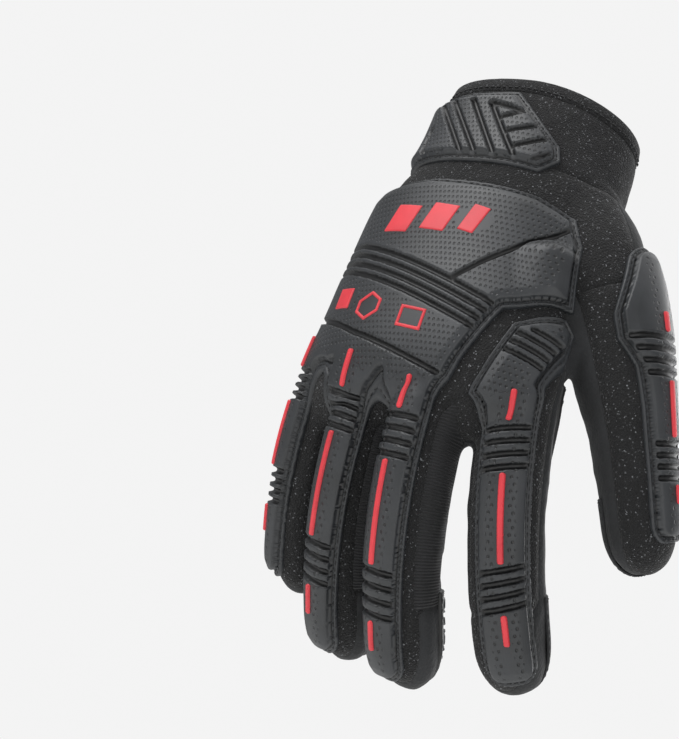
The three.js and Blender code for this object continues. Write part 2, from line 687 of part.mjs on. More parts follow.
// The wrist strap: a moulded pad on the back, round the outer edge, to a tab on the palm.
const strapBack = onPalm([
  [-0.55, 0.03], [0.03, 0.035], [0.23, 0.182], [0.25, 0.225], [0.2, 0.275], [-0.55, 0.24],
]);
const strapPalm = onPalm([[-0.55, 0.02], [0.1, 0.02], [0.152, 0.1], [0.107, 0.215], [-0.55, 0.2]]);
const strapCutter = (by) => {
  const trim = (outline) => (by ? inset(outline, by) : outline);
  return prism(trim(strapBack), -reach, 1).add(prism(trim(strapPalm), -1, reach));
};
add(
  "wrist_strap",
  layer(gap, flangeHeight, strapCutter(0)).add(layer(gap, strapHeight, strapCutter(flangeWidth))),
  rubber,
);

// The pull tab is a folded loop of webbing, sewn inside the opening on the palm's side.
const tabMiddle = -4;
const tabOutline = [
  [tabMiddle - tabWidth / 2, -hemWidth], [tabMiddle + tabWidth / 2, -hemWidth],
  [tabMiddle + tabWidth / 2, tabReach], [tabMiddle - tabWidth / 2, tabReach],
];
add("pull_tab", layer(-fabric - gap - tabThickness, -fabric - gap, prism(tabOutline, 0, reach)), red);

export default glove;
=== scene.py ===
"""The worn look of a work glove that damps vibration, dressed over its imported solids.

Sizes are in millimetres and angles in degrees until a mesh is made, in metres.
The fingers point to -Z, the back of the hand to -Y and the thumb to +X.
"""

import logging
import math
from dataclasses import dataclass, field, replace
from enum import Enum
from typing import Callable

import bpy
import numpy as np
from mathutils import Matrix, Vector
from mathutils.kdtree import KDTree


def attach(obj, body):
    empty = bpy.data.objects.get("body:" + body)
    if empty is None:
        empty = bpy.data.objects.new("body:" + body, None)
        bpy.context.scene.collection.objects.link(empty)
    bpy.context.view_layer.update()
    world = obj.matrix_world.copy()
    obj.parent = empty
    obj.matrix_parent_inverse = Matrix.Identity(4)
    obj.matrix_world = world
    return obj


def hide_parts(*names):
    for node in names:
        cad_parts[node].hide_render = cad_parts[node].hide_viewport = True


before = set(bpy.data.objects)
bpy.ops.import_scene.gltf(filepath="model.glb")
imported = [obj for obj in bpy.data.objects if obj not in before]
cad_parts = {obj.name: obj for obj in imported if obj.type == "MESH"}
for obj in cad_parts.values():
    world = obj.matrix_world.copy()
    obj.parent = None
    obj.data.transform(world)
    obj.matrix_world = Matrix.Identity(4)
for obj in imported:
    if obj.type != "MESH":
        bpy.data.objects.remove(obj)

Array = np.ndarray
Settings = dict[str | int, object]
Measure = Callable[[np.ndarray], np.ndarray]
Tree = bpy.types.NodeTree
Socket = bpy.types.NodeSocket
Colour = Socket | tuple[float, float, float, float]
Look = tuple[Socket, Socket, float]
log = logging.getLogger("glove")

PALM_WIDTH = 112.0
PALM_DEPTH = 44.0
PALM_LENGTH = 149.0
SQUARENESS = 2.3
CUFF_LENGTH = 36.5
HEM_WIDTH = 6.0
RIM_SLOPE = 3.5
RIM_TILT = 5.0
WALL = 1.9
THUMB_SEAM = 0.3
SKIN_VOXEL = 1.05
FINGER_REACH = 130.0
METRES = 0.001
FOOT = -0.5
FAR = 1e9
TINY = 1e-9
BLOCK = 20000
# A Mix node's two colours are its inputs 6 and 7, and the blend is its output 2
MIX_ONE, MIX_TWO, MIX_RESULT = 6, 7, 2


def smooth_step(low: float, high: float, value: Array) -> Array:
    """Rises smoothly from 0 at low to 1 at high."""
    t = np.clip((value - low) / (high - low), 0.0, 1.0)
    return t * t * (3.0 - 2.0 * t)


def smooth_max(a: Array, b: Array, width: float) -> Array:
    """The greater of two values, rounded where they meet over a width."""
    near = np.maximum(width - np.abs(a - b), 0.0) / width
    return np.maximum(a, b) + near * near * width * 0.25


def waves(points: Array, length: float, seed: int) -> Array:
    """Soft uneven swell from -1 to 1.

    Args:
        points: Where it is wanted.
        length: The typical length of a wave.
        seed: Picks the waves.

    Returns:
        One value for each point.
    """
    chance = np.random.default_rng(seed)
    total = np.zeros(len(points))
    for _ in range(7):
        way = chance.normal(size=3)
        way *= math.tau / (length * chance.uniform(0.7, 1.6) * np.linalg.norm(way))
        total += np.sin(points @ way + chance.uniform(0, math.tau))
    return total / 3.2


def outline_depth(outline: Array, flat: Array) -> Array:
    """Distance inside an outline, negative outside it.

    Args:
        outline: The corners, one row each.
        flat: The points to measure, in the outline's own plane.

    Returns:
        One distance for each point.
    """
    nearest = np.full(len(flat), FAR)
    inside = np.zeros(len(flat), dtype=bool)
    for a, b in zip(outline, np.roll(outline, -1, axis=0)):
        nearest = np.minimum(nearest, line_distance(np.array([a, b]), flat))
        crosses = (a[1] > flat[:, 1]) != (b[1] > flat[:, 1])
        rise = b[1] - a[1] if b[1] != a[1] else TINY
        inside ^= crosses & (flat[:, 0] < a[0] + (flat[:, 1] - a[1]) * (b[0] - a[0]) / rise)
    return np.where(inside, nearest, -nearest)


def line_distance(line: Array, flat: Array) -> Array:
    """Distance from flat points to a line of several pieces.

    Args:
        line: The line's points, one row each.
        flat: The points to measure.

    Returns:
        One distance for each point.
    """
    nearest = np.full(len(flat), FAR)
    for a, b in zip(line[:-1], line[1:]):
        along = b - a
        share = np.clip(((flat - a) @ along) / (along @ along), 0.0, 1.0)
        nearest = np.minimum(nearest, np.linalg.norm(flat - a - share[:, None] * along, axis=1))
    return nearest


def rounded_box(u: Array, v: Array, half: Array, half_length: float, corner: float) -> Array:
    """Distance inside a rectangle with round corners, negative outside it.

    Args:
        u: Distance across from its middle.
        v: Distance along from its middle.
        half: Half its width at each point.
        half_length: Half its length.
        corner: The radius of its corners.

    Returns:
        One distance for each point.
    """
    over_u = np.abs(u) - half + corner
    over_v = np.abs(v) - half_length + corner
    out = np.hypot(np.maximum(over_u, 0.0), np.maximum(over_v, 0.0))
    return corner - out - np.minimum(np.maximum(over_u, over_v), 0.0)


def on_palm(shares: list[tuple[float, float]]) -> Array:
    """An outline in shares of the palm's width and length, as X and Z in millimetres."""
    return np.array(shares) * [PALM_WIDTH, -PALM_LENGTH]


@dataclass
class Surface:
    """Triangles with a normal at each point, cut and measured as arrays."""

    points: Array
    normals: Array
    faces: Array

    def sides(self) -> Array:
        """The three edges of every face, in that face's direction."""
        return np.vstack([self.faces[:, [0, 1]], self.faces[:, [1, 2]], self.faces[:, [2, 0]]])

    def edges(self) -> Array:
        """Every edge once, as pairs of points."""
        return np.unique(np.sort(self.sides(), axis=1), axis=0)

    def face_normals(self) -> Array:
        """Each face's normal, as long as twice the face's area."""
        a, b, c = (self.points[self.faces[:, i]] for i in range(3))
        return np.cross(b - a, c - a)

    def relaxed(self, values: Array, rounds: int, weight: Array | float = 0.5) -> Array:
        """Evens values out over the surface.

        Args:
            values: One row for each point.
            rounds: How many times each point moves towards its neighbours.
            weight: How far it moves, from 0 to 1.

        Returns:
            The evened values.
        """
        edges = self.edges()
        count = len(self.points)
        ends = np.concatenate([edges[:, 0], edges[:, 1]])
        others = np.concatenate([edges[:, 1], edges[:, 0]])
        degree = np.maximum(np.bincount(ends, minlength=count), 1)
        table = values.reshape(count, -1).astype(float)
        share = np.broadcast_to(np.asarray(weight, dtype=float), (count,))[:, None]
        for _ in range(rounds):
            columns = [np.bincount(ends, weights=c[others], minlength=count) / degree for c in table.T]
            table = table + share * (np.stack(columns, axis=1) - table)
        return table.reshape(values.shape)

    def with_normals(self) -> "Surface":
        """The same surface with its normals worked out from its faces."""
        flat = self.face_normals()
        total = np.zeros_like(self.points)
        for corner in range(3):
            for axis in range(3):
                total[:, axis] += np.bincount(
                    self.faces[:, corner], weights=flat[:, axis], minlength=len(total)
                )
        length = np.maximum(np.linalg.norm(total, axis=1, keepdims=True), TINY)
        return Surface(self.points, total / length, self.faces)

    def part(self, keep: Array) -> "Surface":
        """The faces chosen by a mask, with only the points that they use."""
        faces = self.faces[keep]
        used, numbered = np.unique(faces, return_inverse=True)
        return Surface(self.points[used], self.normals[used], numbered.reshape(-1, 3))

    def finer(self) -> "Surface":
        """Each triangle split into four."""
        edges, which = np.unique(np.sort(self.sides(), axis=1), axis=0, return_inverse=True)
        ab, bc, ca = np.split(which.reshape(-1) + len(self.points), 3)
        points = np.vstack([self.points, self.points[edges].mean(axis=1)])
        normals = np.vstack([self.normals, self.normals[edges].mean(axis=1)])
        normals /= np.maximum(np.linalg.norm(normals, axis=1, keepdims=True), TINY)
        a, b, c = self.faces.T
        faces = np.vstack(
            [np.stack(t, axis=1) for t in ((a, ab, ca), (ab, b, bc), (ca, bc, c), (ab, bc, ca))]
        )
        return Surface(points, normals, faces)

    def aligned(self, measure: Callable[["Surface"], Array]) -> tuple["Surface", Array]:
        """Slides points along their edges so that a zero line runs through points.

        Args:
            measure: Gives one signed value for each point.

        Returns:
            The surface and its values, with no edge left that crosses zero.
        """
        values = measure(self)
        edges = self.edges()
        one, two = values[edges[:, 0]], values[edges[:, 1]]
        crossing = (one * two) < 0.0
        edges, one, two = edges[crossing], one[crossing], two[crossing]
        first = np.abs(one) <= np.abs(two)
        mover = np.where(first, edges[:, 0], edges[:, 1])
        other = np.where(first, edges[:, 1], edges[:, 0])
        share = np.where(first, one / (one - two), two / (two - one))
        order = np.argsort(-share)
        points, normals = self.points.copy(), self.normals.copy()
        mover, other, share = mover[order], other[order], share[order, None]
        points[mover] = self.points[mover] * (1 - share) + self.points[other] * share
        normals[mover] = self.normals[mover] * (1 - share) + self.normals[other] * share
        values = values.copy()
        values[mover] = 0.0
        return Surface(points, normals, self.faces), values

    def split(self, measure: Callable[["Surface"], Array]) -> tuple["Surface", "Surface"]:
        """Cuts along the zero line: the part above zero, then the rest."""
        moved, values = self.aligned(measure)
        above = values[moved.faces].sum(axis=1) > 0.0
        return moved.part(above), moved.part(~above)

    def rim(self) -> Array:
        """The edges that only one face has, in that face's direction."""
        pairs = self.sides()
        keys = np.sort(pairs, axis=1)
        _, which, counts = np.unique(keys, axis=0, return_inverse=True, return_counts=True)
        return pairs[counts[which.reshape(-1)] == 1]

    def area(self) -> float:
        """Its area in square millimetres."""
        return float(np.linalg.norm(self.face_normals(), axis=1).sum() / 2)

    def distance_from(self, places: Array) -> Array:
        """Distance from each point to the nearest of some places.

        Args:
            places: The places, one row each.

        Returns:
            One distance for each point.
        """
        tree = KDTree(len(places))
        for i, place in enumerate(places):
            tree.insert(place, i)
        tree.balance()
        return np.array([tree.find(p)[2] for p in self.points])

    def thickened(self, top: Array, bottom: Array) -> tuple[Array, Array]:
        """A closed body between two heights out along the normals.

        Args:
            top: The outer height at each point.
            bottom: The inner height at each point.

        Returns:
            The body's points and faces.
        """
        count = len(self.points)
        outer = self.points + self.normals * top[:, None]
        inner = self.points + self.normals * bottom[:, None]
        a, b = self.rim().T
        walls = np.vstack([np.stack([b, a, a + count], axis=1), np.stack([b, a + count, b + count], axis=1)])
        return np.vstack([outer, inner]), np.vstack([self.faces, self.faces[:, ::-1] + count, walls])

    def contours(self, values: Array) -> list[Array]:
        """Finds the zero lines of some values.

        Args:
            values: One signed value for each point.

        Returns:
            The lines, each as rows of a point and the normal beside it.
        """
        corner = values[self.faces]
        mixed = (corner.min(axis=1) < 0.0) & (corner.max(axis=1) >= 0.0)
        links: dict[tuple[int, int], list[tuple[int, int]]] = {}
        for face in self.faces[mixed]:
            ends = [
                (int(min(a, b)), int(max(a, b)))
                for a, b in zip(face, np.roll(face, -1))
                if (values[a] < 0.0) != (values[b] < 0.0)
            ]
            links.setdefault(ends[0], []).append(ends[1])
            links.setdefault(ends[1], []).append(ends[0])
        lines = []
        while links:
            start = next((key for key, beside in links.items() if len(beside) == 1), next(iter(links)))
            line = [start]
            while True:
                beside = links.get(line[-1], [])
                if not beside:
                    break
                following = beside.pop()
                links[following].remove(line[-1])
                for key in (line[-1], following):
                    if key in links and not links[key]:
                        del links[key]
                line.append(following)
            ends = np.array(line)
            one, two = values[ends[:, 0]], values[ends[:, 1]]
            share = (one / (one - two))[:, None]
            both = np.hstack([self.points, self.normals])
            lines.append(both[ends[:, 0]] * (1 - share) + both[ends[:, 1]] * share)
        return lines


def make_piece(name: str, points: Array, faces: Array, finish: bpy.types.Material) -> bpy.types.Object:
    """Makes a smooth-shaded object that rides on the glove.

    Args:
        name: The piece's name.
        points: Its points in millimetres.
        faces: Its triangles.
        finish: Its material.

    Returns:
        The object.
    """
    mesh = bpy.data.meshes.new(name)
    mesh.vertices.add(len(points))
    mesh.vertices.foreach_set("co", (points * METRES).astype(np.float32).ravel())
    mesh.loops.add(len(faces) * 3)
    mesh.loops.foreach_set("vertex_index", faces.astype(np.int32).ravel())
    mesh.polygons.add(len(faces))
    mesh.polygons.foreach_set("loop_start", np.arange(0, len(faces) * 3, 3, dtype=np.int32))
    mesh.polygons.foreach_set("use_smooth", np.ones(len(faces), dtype=bool))
    mesh.update(calc_edges=True)
    mesh.validate()
    mesh.materials.append(finish)
    piece = bpy.data.objects.new(name, mesh)
    bpy.context.scene.collection.objects.link(piece)
    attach(piece, "root")
    log.info("%s: %d triangles", name, len(faces))
    return piece


def add_values(piece: bpy.types.Object, name: str, *columns: Array) -> None:
    """Stores three numbers at each point of a piece for its material.

    Args:
        piece: The piece, whose points are its outer face and then its inner face.
        name: The name that the material reads.
        columns: Three values for each point of one face, kept for both.
    """
    values = np.tile(np.stack(columns, axis=1), (2, 1))
    layer = piece.data.attributes.new(name, "FLOAT_VECTOR", "POINT")
    layer.data.foreach_set("vector", values.astype(np.float32).ravel())


@dataclass(frozen=True)
class Place:
    """Where points lie along, across and round a digit, and how far outside it."""

    along: Array
    side: Array
    back: Array
    seam: Array
    arc: Array
    outside: Array


@dataclass
class Digit:
    """A finger or the thumb: the line that it follows and how thick it is."""

    name: str
    across: float
    out: float
    down: float
    length: float
    width: float
    depth: float
    splay: float
    sweep: float
    lift: float
    curl: float
    twist: float
    girth: tuple[tuple[float, float, float], ...] = (
        (0, 1, 1), (0.3, 1.02, 1.02), (0.58, 1, 1), (0.81, 0.98, 0.93),
    )
    before: float = 0.25

    def __post_init__(self) -> None:
        """Works out the line's points, directions and cross axes."""
        steps = 120
        at = np.array([self.across * PALM_WIDTH, self.out * PALM_DEPTH, -self.down * PALM_LENGTH])
        shares = np.arange(steps + 1) / steps
        yaw = np.radians(self.splay + self.sweep * shares)
        pitch = np.radians(self.lift + self.curl * shares**1.2)
        ahead = np.stack([np.sin(yaw) * np.cos(pitch), np.sin(pitch), -np.cos(yaw) * np.cos(pitch)], axis=1)
        places = at + np.vstack([np.zeros(3), np.cumsum(ahead[:-1], axis=0)]) * self.length / steps
        extra = np.arange(-int(self.before * steps), 0) / steps
        places = np.vstack([places[0] + ahead[0] * extra[:, None] * self.length, places])
        ahead = np.vstack([np.repeat(ahead[:1], len(extra), axis=0), ahead])
        turn = math.radians(self.twist)
        facing = np.array([math.sin(turn), -math.cos(turn), 0.0])
        side = -np.cross(facing, ahead)
        side /= np.linalg.norm(side, axis=1, keepdims=True)
        self.shares = np.concatenate([extra, shares])
        self.places = places
        self.ahead = ahead
        self.side = side
        self.back = np.cross(side, ahead)

    def station(self, along: Array) -> tuple[Array, Array, Array]:
        """The digit's line at some shares of its length.

        Args:
            along: The shares.

        Returns:
            The places, the directions to the side and the directions to the back.
        """
        columns = np.hstack([self.places, self.side, self.back])
        found = np.stack([np.interp(along, self.shares, c) for c in columns.T], axis=1)
        return found[:, :3], found[:, 3:6], found[:, 6:]

    def radii(self, along: Array) -> tuple[Array, Array]:
        """The digit's size at some shares of its length.

        Args:
            along: The shares.

        Returns:
            Half the width and half the depth.
        """
        rows = np.array(self.girth)
        last = rows[-1, 0]
        wide, deep = (curve_through(rows[:, 0], rows[:, i], np.clip(along, 0, last)) for i in (1, 2))
        end = np.clip((along - last) / (1.0 - last), 0.0, 1.0)
        taper = np.maximum(1.0 - end**2.6, 0.0)
        return wide * self.width / 2 * taper**0.45, deep * self.depth / 2 * taper**0.5

    def loft(self) -> tuple[Array, Array]:
        """The digit as a closed tube of points and triangles."""
        end = 1.0 - 0.1 * np.linspace(1, 0.02, 14) ** 2
        along = np.concatenate([np.arange(-self.before, 0.895, 0.02), end])
        at, side, back = self.station(along)
        wide, deep = self.radii(along)
        turn = np.linspace(0, math.tau, 49)[:-1]
        rings = (
            at[:, None]
            + side[:, None] * (wide[:, None] * np.sin(turn))[..., None]
            + back[:, None] * (deep[:, None] * np.cos(turn))[..., None]
        )
        return tube(rings)

    def place(self, points: Array) -> Place:
        """Finds where points lie on this digit.

        Args:
            points: The points.

        Returns:
            Their places along it, across it and round it.
        """
        nearest = np.empty(len(points), dtype=int)
        for start in range(0, len(points), BLOCK):
            block = points[start:start + BLOCK]
            gap = block @ self.places.T * -2 + (self.places**2).sum(axis=1)
            nearest[start:start + BLOCK] = gap.argmin(axis=1)
        offset = points - self.places[nearest]
        slide = (offset * self.ahead[nearest]).sum(axis=1)
        along = self.shares[nearest] + slide / self.length
        offset -= self.ahead[nearest] * slide[:, None]
        side = (offset * self.side[nearest]).sum(axis=1)
        back = (offset * self.back[nearest]).sum(axis=1)
        ahead = self.ahead[nearest]
        level = np.hypot(ahead[:, 1], ahead[:, 2])
        seam = (offset[:, 1] * ahead[:, 2] - offset[:, 2] * ahead[:, 1]) / level
        wide, deep = self.radii(np.clip(along, 0, 0.93))
        angle = np.arctan2(side / wide, back / deep)
        reach = np.hypot(side / wide, back / deep)
        return Place(along, side, back, seam, angle * self.width / 2, (reach - 1.0) * (wide + deep) / 2)


def curve_through(places: Array, values: Array, at: Array) -> Array:
    """A smooth curve through rising places that doesn't overshoot.

    Args:
        places: The known places, rising.
        values: The value at each known place.
        at: The places that are wanted.

    Returns:
        The value at each wanted place.
    """
    steps = np.diff(places)
    slopes = np.diff(values) / steps
    tangents = np.concatenate([slopes[:1], (slopes[:-1] + slopes[1:]) / 2, slopes[-1:]])
    tangents[1:-1][slopes[:-1] * slopes[1:] <= 0] = 0.0
    i = np.clip(np.searchsorted(places, at) - 1, 0, len(steps) - 1)
    t = (at - places[i]) / steps[i]
    a, b = values[i], values[i + 1]
    m, n = tangents[i] * steps[i], tangents[i + 1] * steps[i]
    return a * (1 + 2 * t) * (1 - t) ** 2 + m * t * (1 - t) ** 2 + b * t * t * (3 - 2 * t) + n * t * t * (t - 1)


def tube(rings: Array) -> tuple[Array, Array]:
    """Closes a row of rings into one body.

    Args:
        rings: The rings, each with the same count of points.

    Returns:
        The body's points and triangles.
    """
    rows, count = rings.shape[:2]
    i, j = np.meshgrid(np.arange(rows - 1), np.arange(count), indexing="ij")
    a = (i * count + j).ravel()
    b = (i * count + (j + 1) % count).ravel()
    sides = np.vstack([np.stack([a, b, b + count], axis=1), np.stack([a, b + count, a + count], axis=1)])
    first, last = rows * count, rows * count + 1
    j = np.arange(count)
    k = (j + 1) % count
    top = np.stack([k, j, np.full(count, first)], axis=1)
    end = np.stack([j, k, np.full(count, last)], axis=1)
    end[:, :2] += (rows - 1) * count
    points = np.vstack([rings.reshape(-1, 3), rings[0].mean(axis=0), rings[-1].mean(axis=0)])
    return points, np.vstack([sides, top, end])


FINGER_TABLE = (
    ("index", 0.325, 0.06, 0.714, 131, 28.5, 28.5, 4, 4, 8, 44, 18),
    ("middle", 0.08, -0.05, 0.745, 134, 27, 26.5, 1, 1, -1, 56, -14),
    ("ring", -0.154, -0.01, 0.714, 132.5, 26.4, 26.5, -3, -1, 3, 54, -16),
    ("pinky", -0.37, 0.1, 0.674, 112, 24.8, 24, -7.5, 4, 6, 40, -42),
)
PALM_TABLE = np.array([
    (0, 0.355, 0.376, 0.5, 0.54, -0.04, 0.2), (0.2, 0.36, 0.395, 0.49, 0.555, -0.03, 0.22),
    (0.347, 0.425, 0.43, 0.5, 0.58, -0.02, 0.22), (0.541, 0.467, 0.445, 0.48, 0.54, 0.08, 0.18),
    (0.72, 0.49, 0.468, 0.455, 0.47, 0.165, 0.115), (0.87, 0.494, 0.472, 0.385, 0.39, 0.18, 0.1),
    (0.955, 0.455, 0.44, 0.28, 0.315, 0.16, 0.1), (1, 0.37, 0.38, 0.12, 0.18, 0.1, 0.1),
])

STRIP_TABLE = ((0, 0.3, 0.58, 0.86), (9, 7.5, 5.9, 4.4), (10, 10, 9.6, 8.5))


@dataclass
class Hand:
    """The worn shape of the whole glove, as one smooth skin."""

    voxel: float = SKIN_VOXEL
    relax_rounds: int = 5
    hollow_rounds: int = 30
    tip_wrap: float = 7.5
    strip_start: float = -0.05
    strip_end: float = 0.76
    digits: dict[str, Digit] = field(default_factory=dict)

    def __post_init__(self) -> None:
        """Makes the digits and the skin over them."""
        for name, *sizes in FINGER_TABLE:
            self.digits[name] = Digit(name, *sizes)
        thick = ((0, 1, 1.35), (0.2, 1.25, 1.58), (0.42, 1.19, 1.4), (0.66, 1.03, 1.06), (0.85, 0.98, 0.93))
        self.digits["thumb"] = Digit(
            "thumb", 0.258, 0.15, 0.286, 147, 31, 27, 36, -26, 8, 28, 84, girth=thick, before=0.04
        )
        self.skin = self.make_skin()

    def palm_loft(self) -> tuple[Array, Array]:
        """The palm as a closed tube, on past the wrist opening."""
        down = np.concatenate([[-0.12, -0.06], np.linspace(0, 1, 90)])
        columns = [curve_through(PALM_TABLE[:, 0], c, np.clip(down, 0, 1)) for c in PALM_TABLE.T[1:]]
        ulnar, radial, back, front, drop_ulnar, drop_radial = (c[:, None] for c in columns)
        turn = np.linspace(0, math.tau, 129)[:-1]
        cos, sin = np.cos(turn), np.sin(turn)
        across, face = (np.sign(v) * np.abs(v) ** (2 / SQUARENESS) for v in (cos, sin))
        half = np.where(cos > 0, radial, ulnar) * PALM_WIDTH
        deep = np.where(sin > 0, front, back) * PALM_DEPTH
        drop = np.where(cos > 0, drop_radial, drop_ulnar) * PALM_DEPTH
        z = np.broadcast_to(-down[:, None] * PALM_LENGTH, half.shape)
        return tube(np.stack([half * across, deep * face + drop * across**2, z], axis=2))

    def make_skin(self) -> Surface:
        """Joins the palm and the digits and evens out the hollows between them."""
        lofts = [self.palm_loft(), *[d.loft() for d in self.digits.values()]]
        starts = np.cumsum([0, *[len(p) for p, _ in lofts]])
        points = np.vstack([p for p, _ in lofts])
        faces = np.vstack([f + s for (_, f), s in zip(lofts, starts)])
        rough = bpy.data.meshes.new("rough_skin")
        rough.from_pydata((points * METRES).tolist(), [], faces.tolist())
        holder = bpy.data.objects.new("rough_skin", rough)
        bpy.context.scene.collection.objects.link(holder)
        remesh = holder.modifiers.new("voxels", "REMESH")
        remesh.mode = "VOXEL"
        remesh.voxel_size = self.voxel * METRES
        made = holder.evaluated_get(bpy.context.evaluated_depsgraph_get()).to_mesh()
        made.calc_loop_triangles()
        points = np.empty(len(made.vertices) * 3)
        made.vertices.foreach_get("co", points)
        faces = np.empty(len(made.loop_triangles) * 3, dtype=np.int32)
        made.loop_triangles.foreach_get("vertices", faces)
        bpy.data.objects.remove(holder)
        bpy.data.meshes.remove(rough)
        skin = Surface(points.reshape(-1, 3) / METRES, np.zeros((len(points) // 3, 3)), faces.reshape(-1, 3))
        skin.points = skin.relaxed(skin.points, self.relax_rounds)
        skin = skin.with_normals()
        even = skin.relaxed(skin.points, 3, 1.0)
        hollow = ((even - skin.points) * skin.normals).sum(axis=1)
        mask = skin.relaxed(smooth_step(0.03, 0.12, hollow), 12)
        skin.points = skin.relaxed(skin.points, self.hollow_rounds, np.clip(mask * 1.6, 0, 0.9))
        skin = skin.with_normals()
        skin.normals = skin.relaxed(skin.normals, 4)
        skin.normals /= np.linalg.norm(skin.normals, axis=1, keepdims=True)
        log.info("skin: %d points", len(skin.points))
        return skin

    def below_rim(self, points: Array) -> Array:
        """Distance of points below the slanted wrist opening."""
        lowered = RIM_SLOPE * points[:, 0] / PALM_WIDTH * 2 + RIM_TILT * points[:, 1] / PALM_DEPTH
        return -lowered - points[:, 2]

    def thumb_root(self, points: Array) -> Array:
        """Above zero on the set-in thumb, below it on the hand."""
        place = self.digits["thumb"].place(points)
        return np.minimum(5.0 - place.outside, (place.along - THUMB_SEAM) * self.digits["thumb"].length)

    def lane(self, points: Array) -> tuple[Array, list[Place]]:
        """Sorts points by finger.

        Args:
            points: The points.

        Returns:
            Which finger each point belongs to, and its place on every finger.
        """
        places = [self.digits[row[0]].place(points) for row in FINGER_TABLE]
        apart = []
        for row, place in zip(FINGER_TABLE, places):
            digit = self.digits[row[0]]
            centre = digit.station(np.clip(place.along, -0.2, 1.0))[0]
            apart.append(np.hypot(points[:, 0] - centre[:, 0], 0.35 * (points[:, 1] - centre[:, 1])))
        return np.argmin(np.stack(apart), axis=0), places

    def seam_depth(self, points: Array) -> Array:
        """Distance from the seam between back and palm.

        Args:
            points: The points.

        Returns:
            One distance for each point, above zero on the back.
        """
        which, places = self.lane(points)
        depth = np.zeros(len(points))
        for i, place in enumerate(places):
            digit = self.digits[FINGER_TABLE[i][0]]
            root = digit.station(np.zeros(1))[0][0]
            share = smooth_step(-0.03, 0.03, place.along)
            wrapped = place.seam - self.tip_wrap * smooth_step(0.72, 0.78, place.along)
            value = wrapped * share + (root[1] - points[:, 1]) * (1 - share)
            depth = np.where(which == i, value, depth)
        return depth

    def between(self, points: Array, one: int) -> Array:
        """Distance inside the strip between one finger and the next.

        Args:
            points: The points.
            one: The number of the finger on the thumb's side of the strip.

        Returns:
            One distance for each point, above zero on the strip.
        """
        which, places = self.lane(points)
        depth = np.full(len(points), -5.0)
        for i, towards in ((one, 1.0), (one + 1, -1.0)):
            place = places[i]
            to_palm, to_back = (np.interp(place.along, STRIP_TABLE[0], row) for row in STRIP_TABLE[1:])
            half = np.where(place.seam > 0, to_back, to_palm)
            value = np.minimum(half - np.abs(place.seam), (self.strip_end - place.along) * FINGER_REACH)
            value = np.minimum(value, (place.along - self.strip_start) * FINGER_REACH)
            towards_next = np.where(place.side * towards > 0, value, -5.0)
            depth = np.where(which == i, towards_next, depth)
        return depth


class Cloth(Enum):
    """What a panel is cut from."""

    TERRY = "terry"
    SUEDE = "suede"
    RIBBED = "ribbed"
    NEOPRENE = "neoprene"


@dataclass(frozen=True)
class PanelCut:
    """A sewn panel: the node it stands for, its cloth, and the length it was cut to."""

    node: str
    cloth: Cloth
    length: float
    pinch: float = 0.8
    swell: float = 0.35


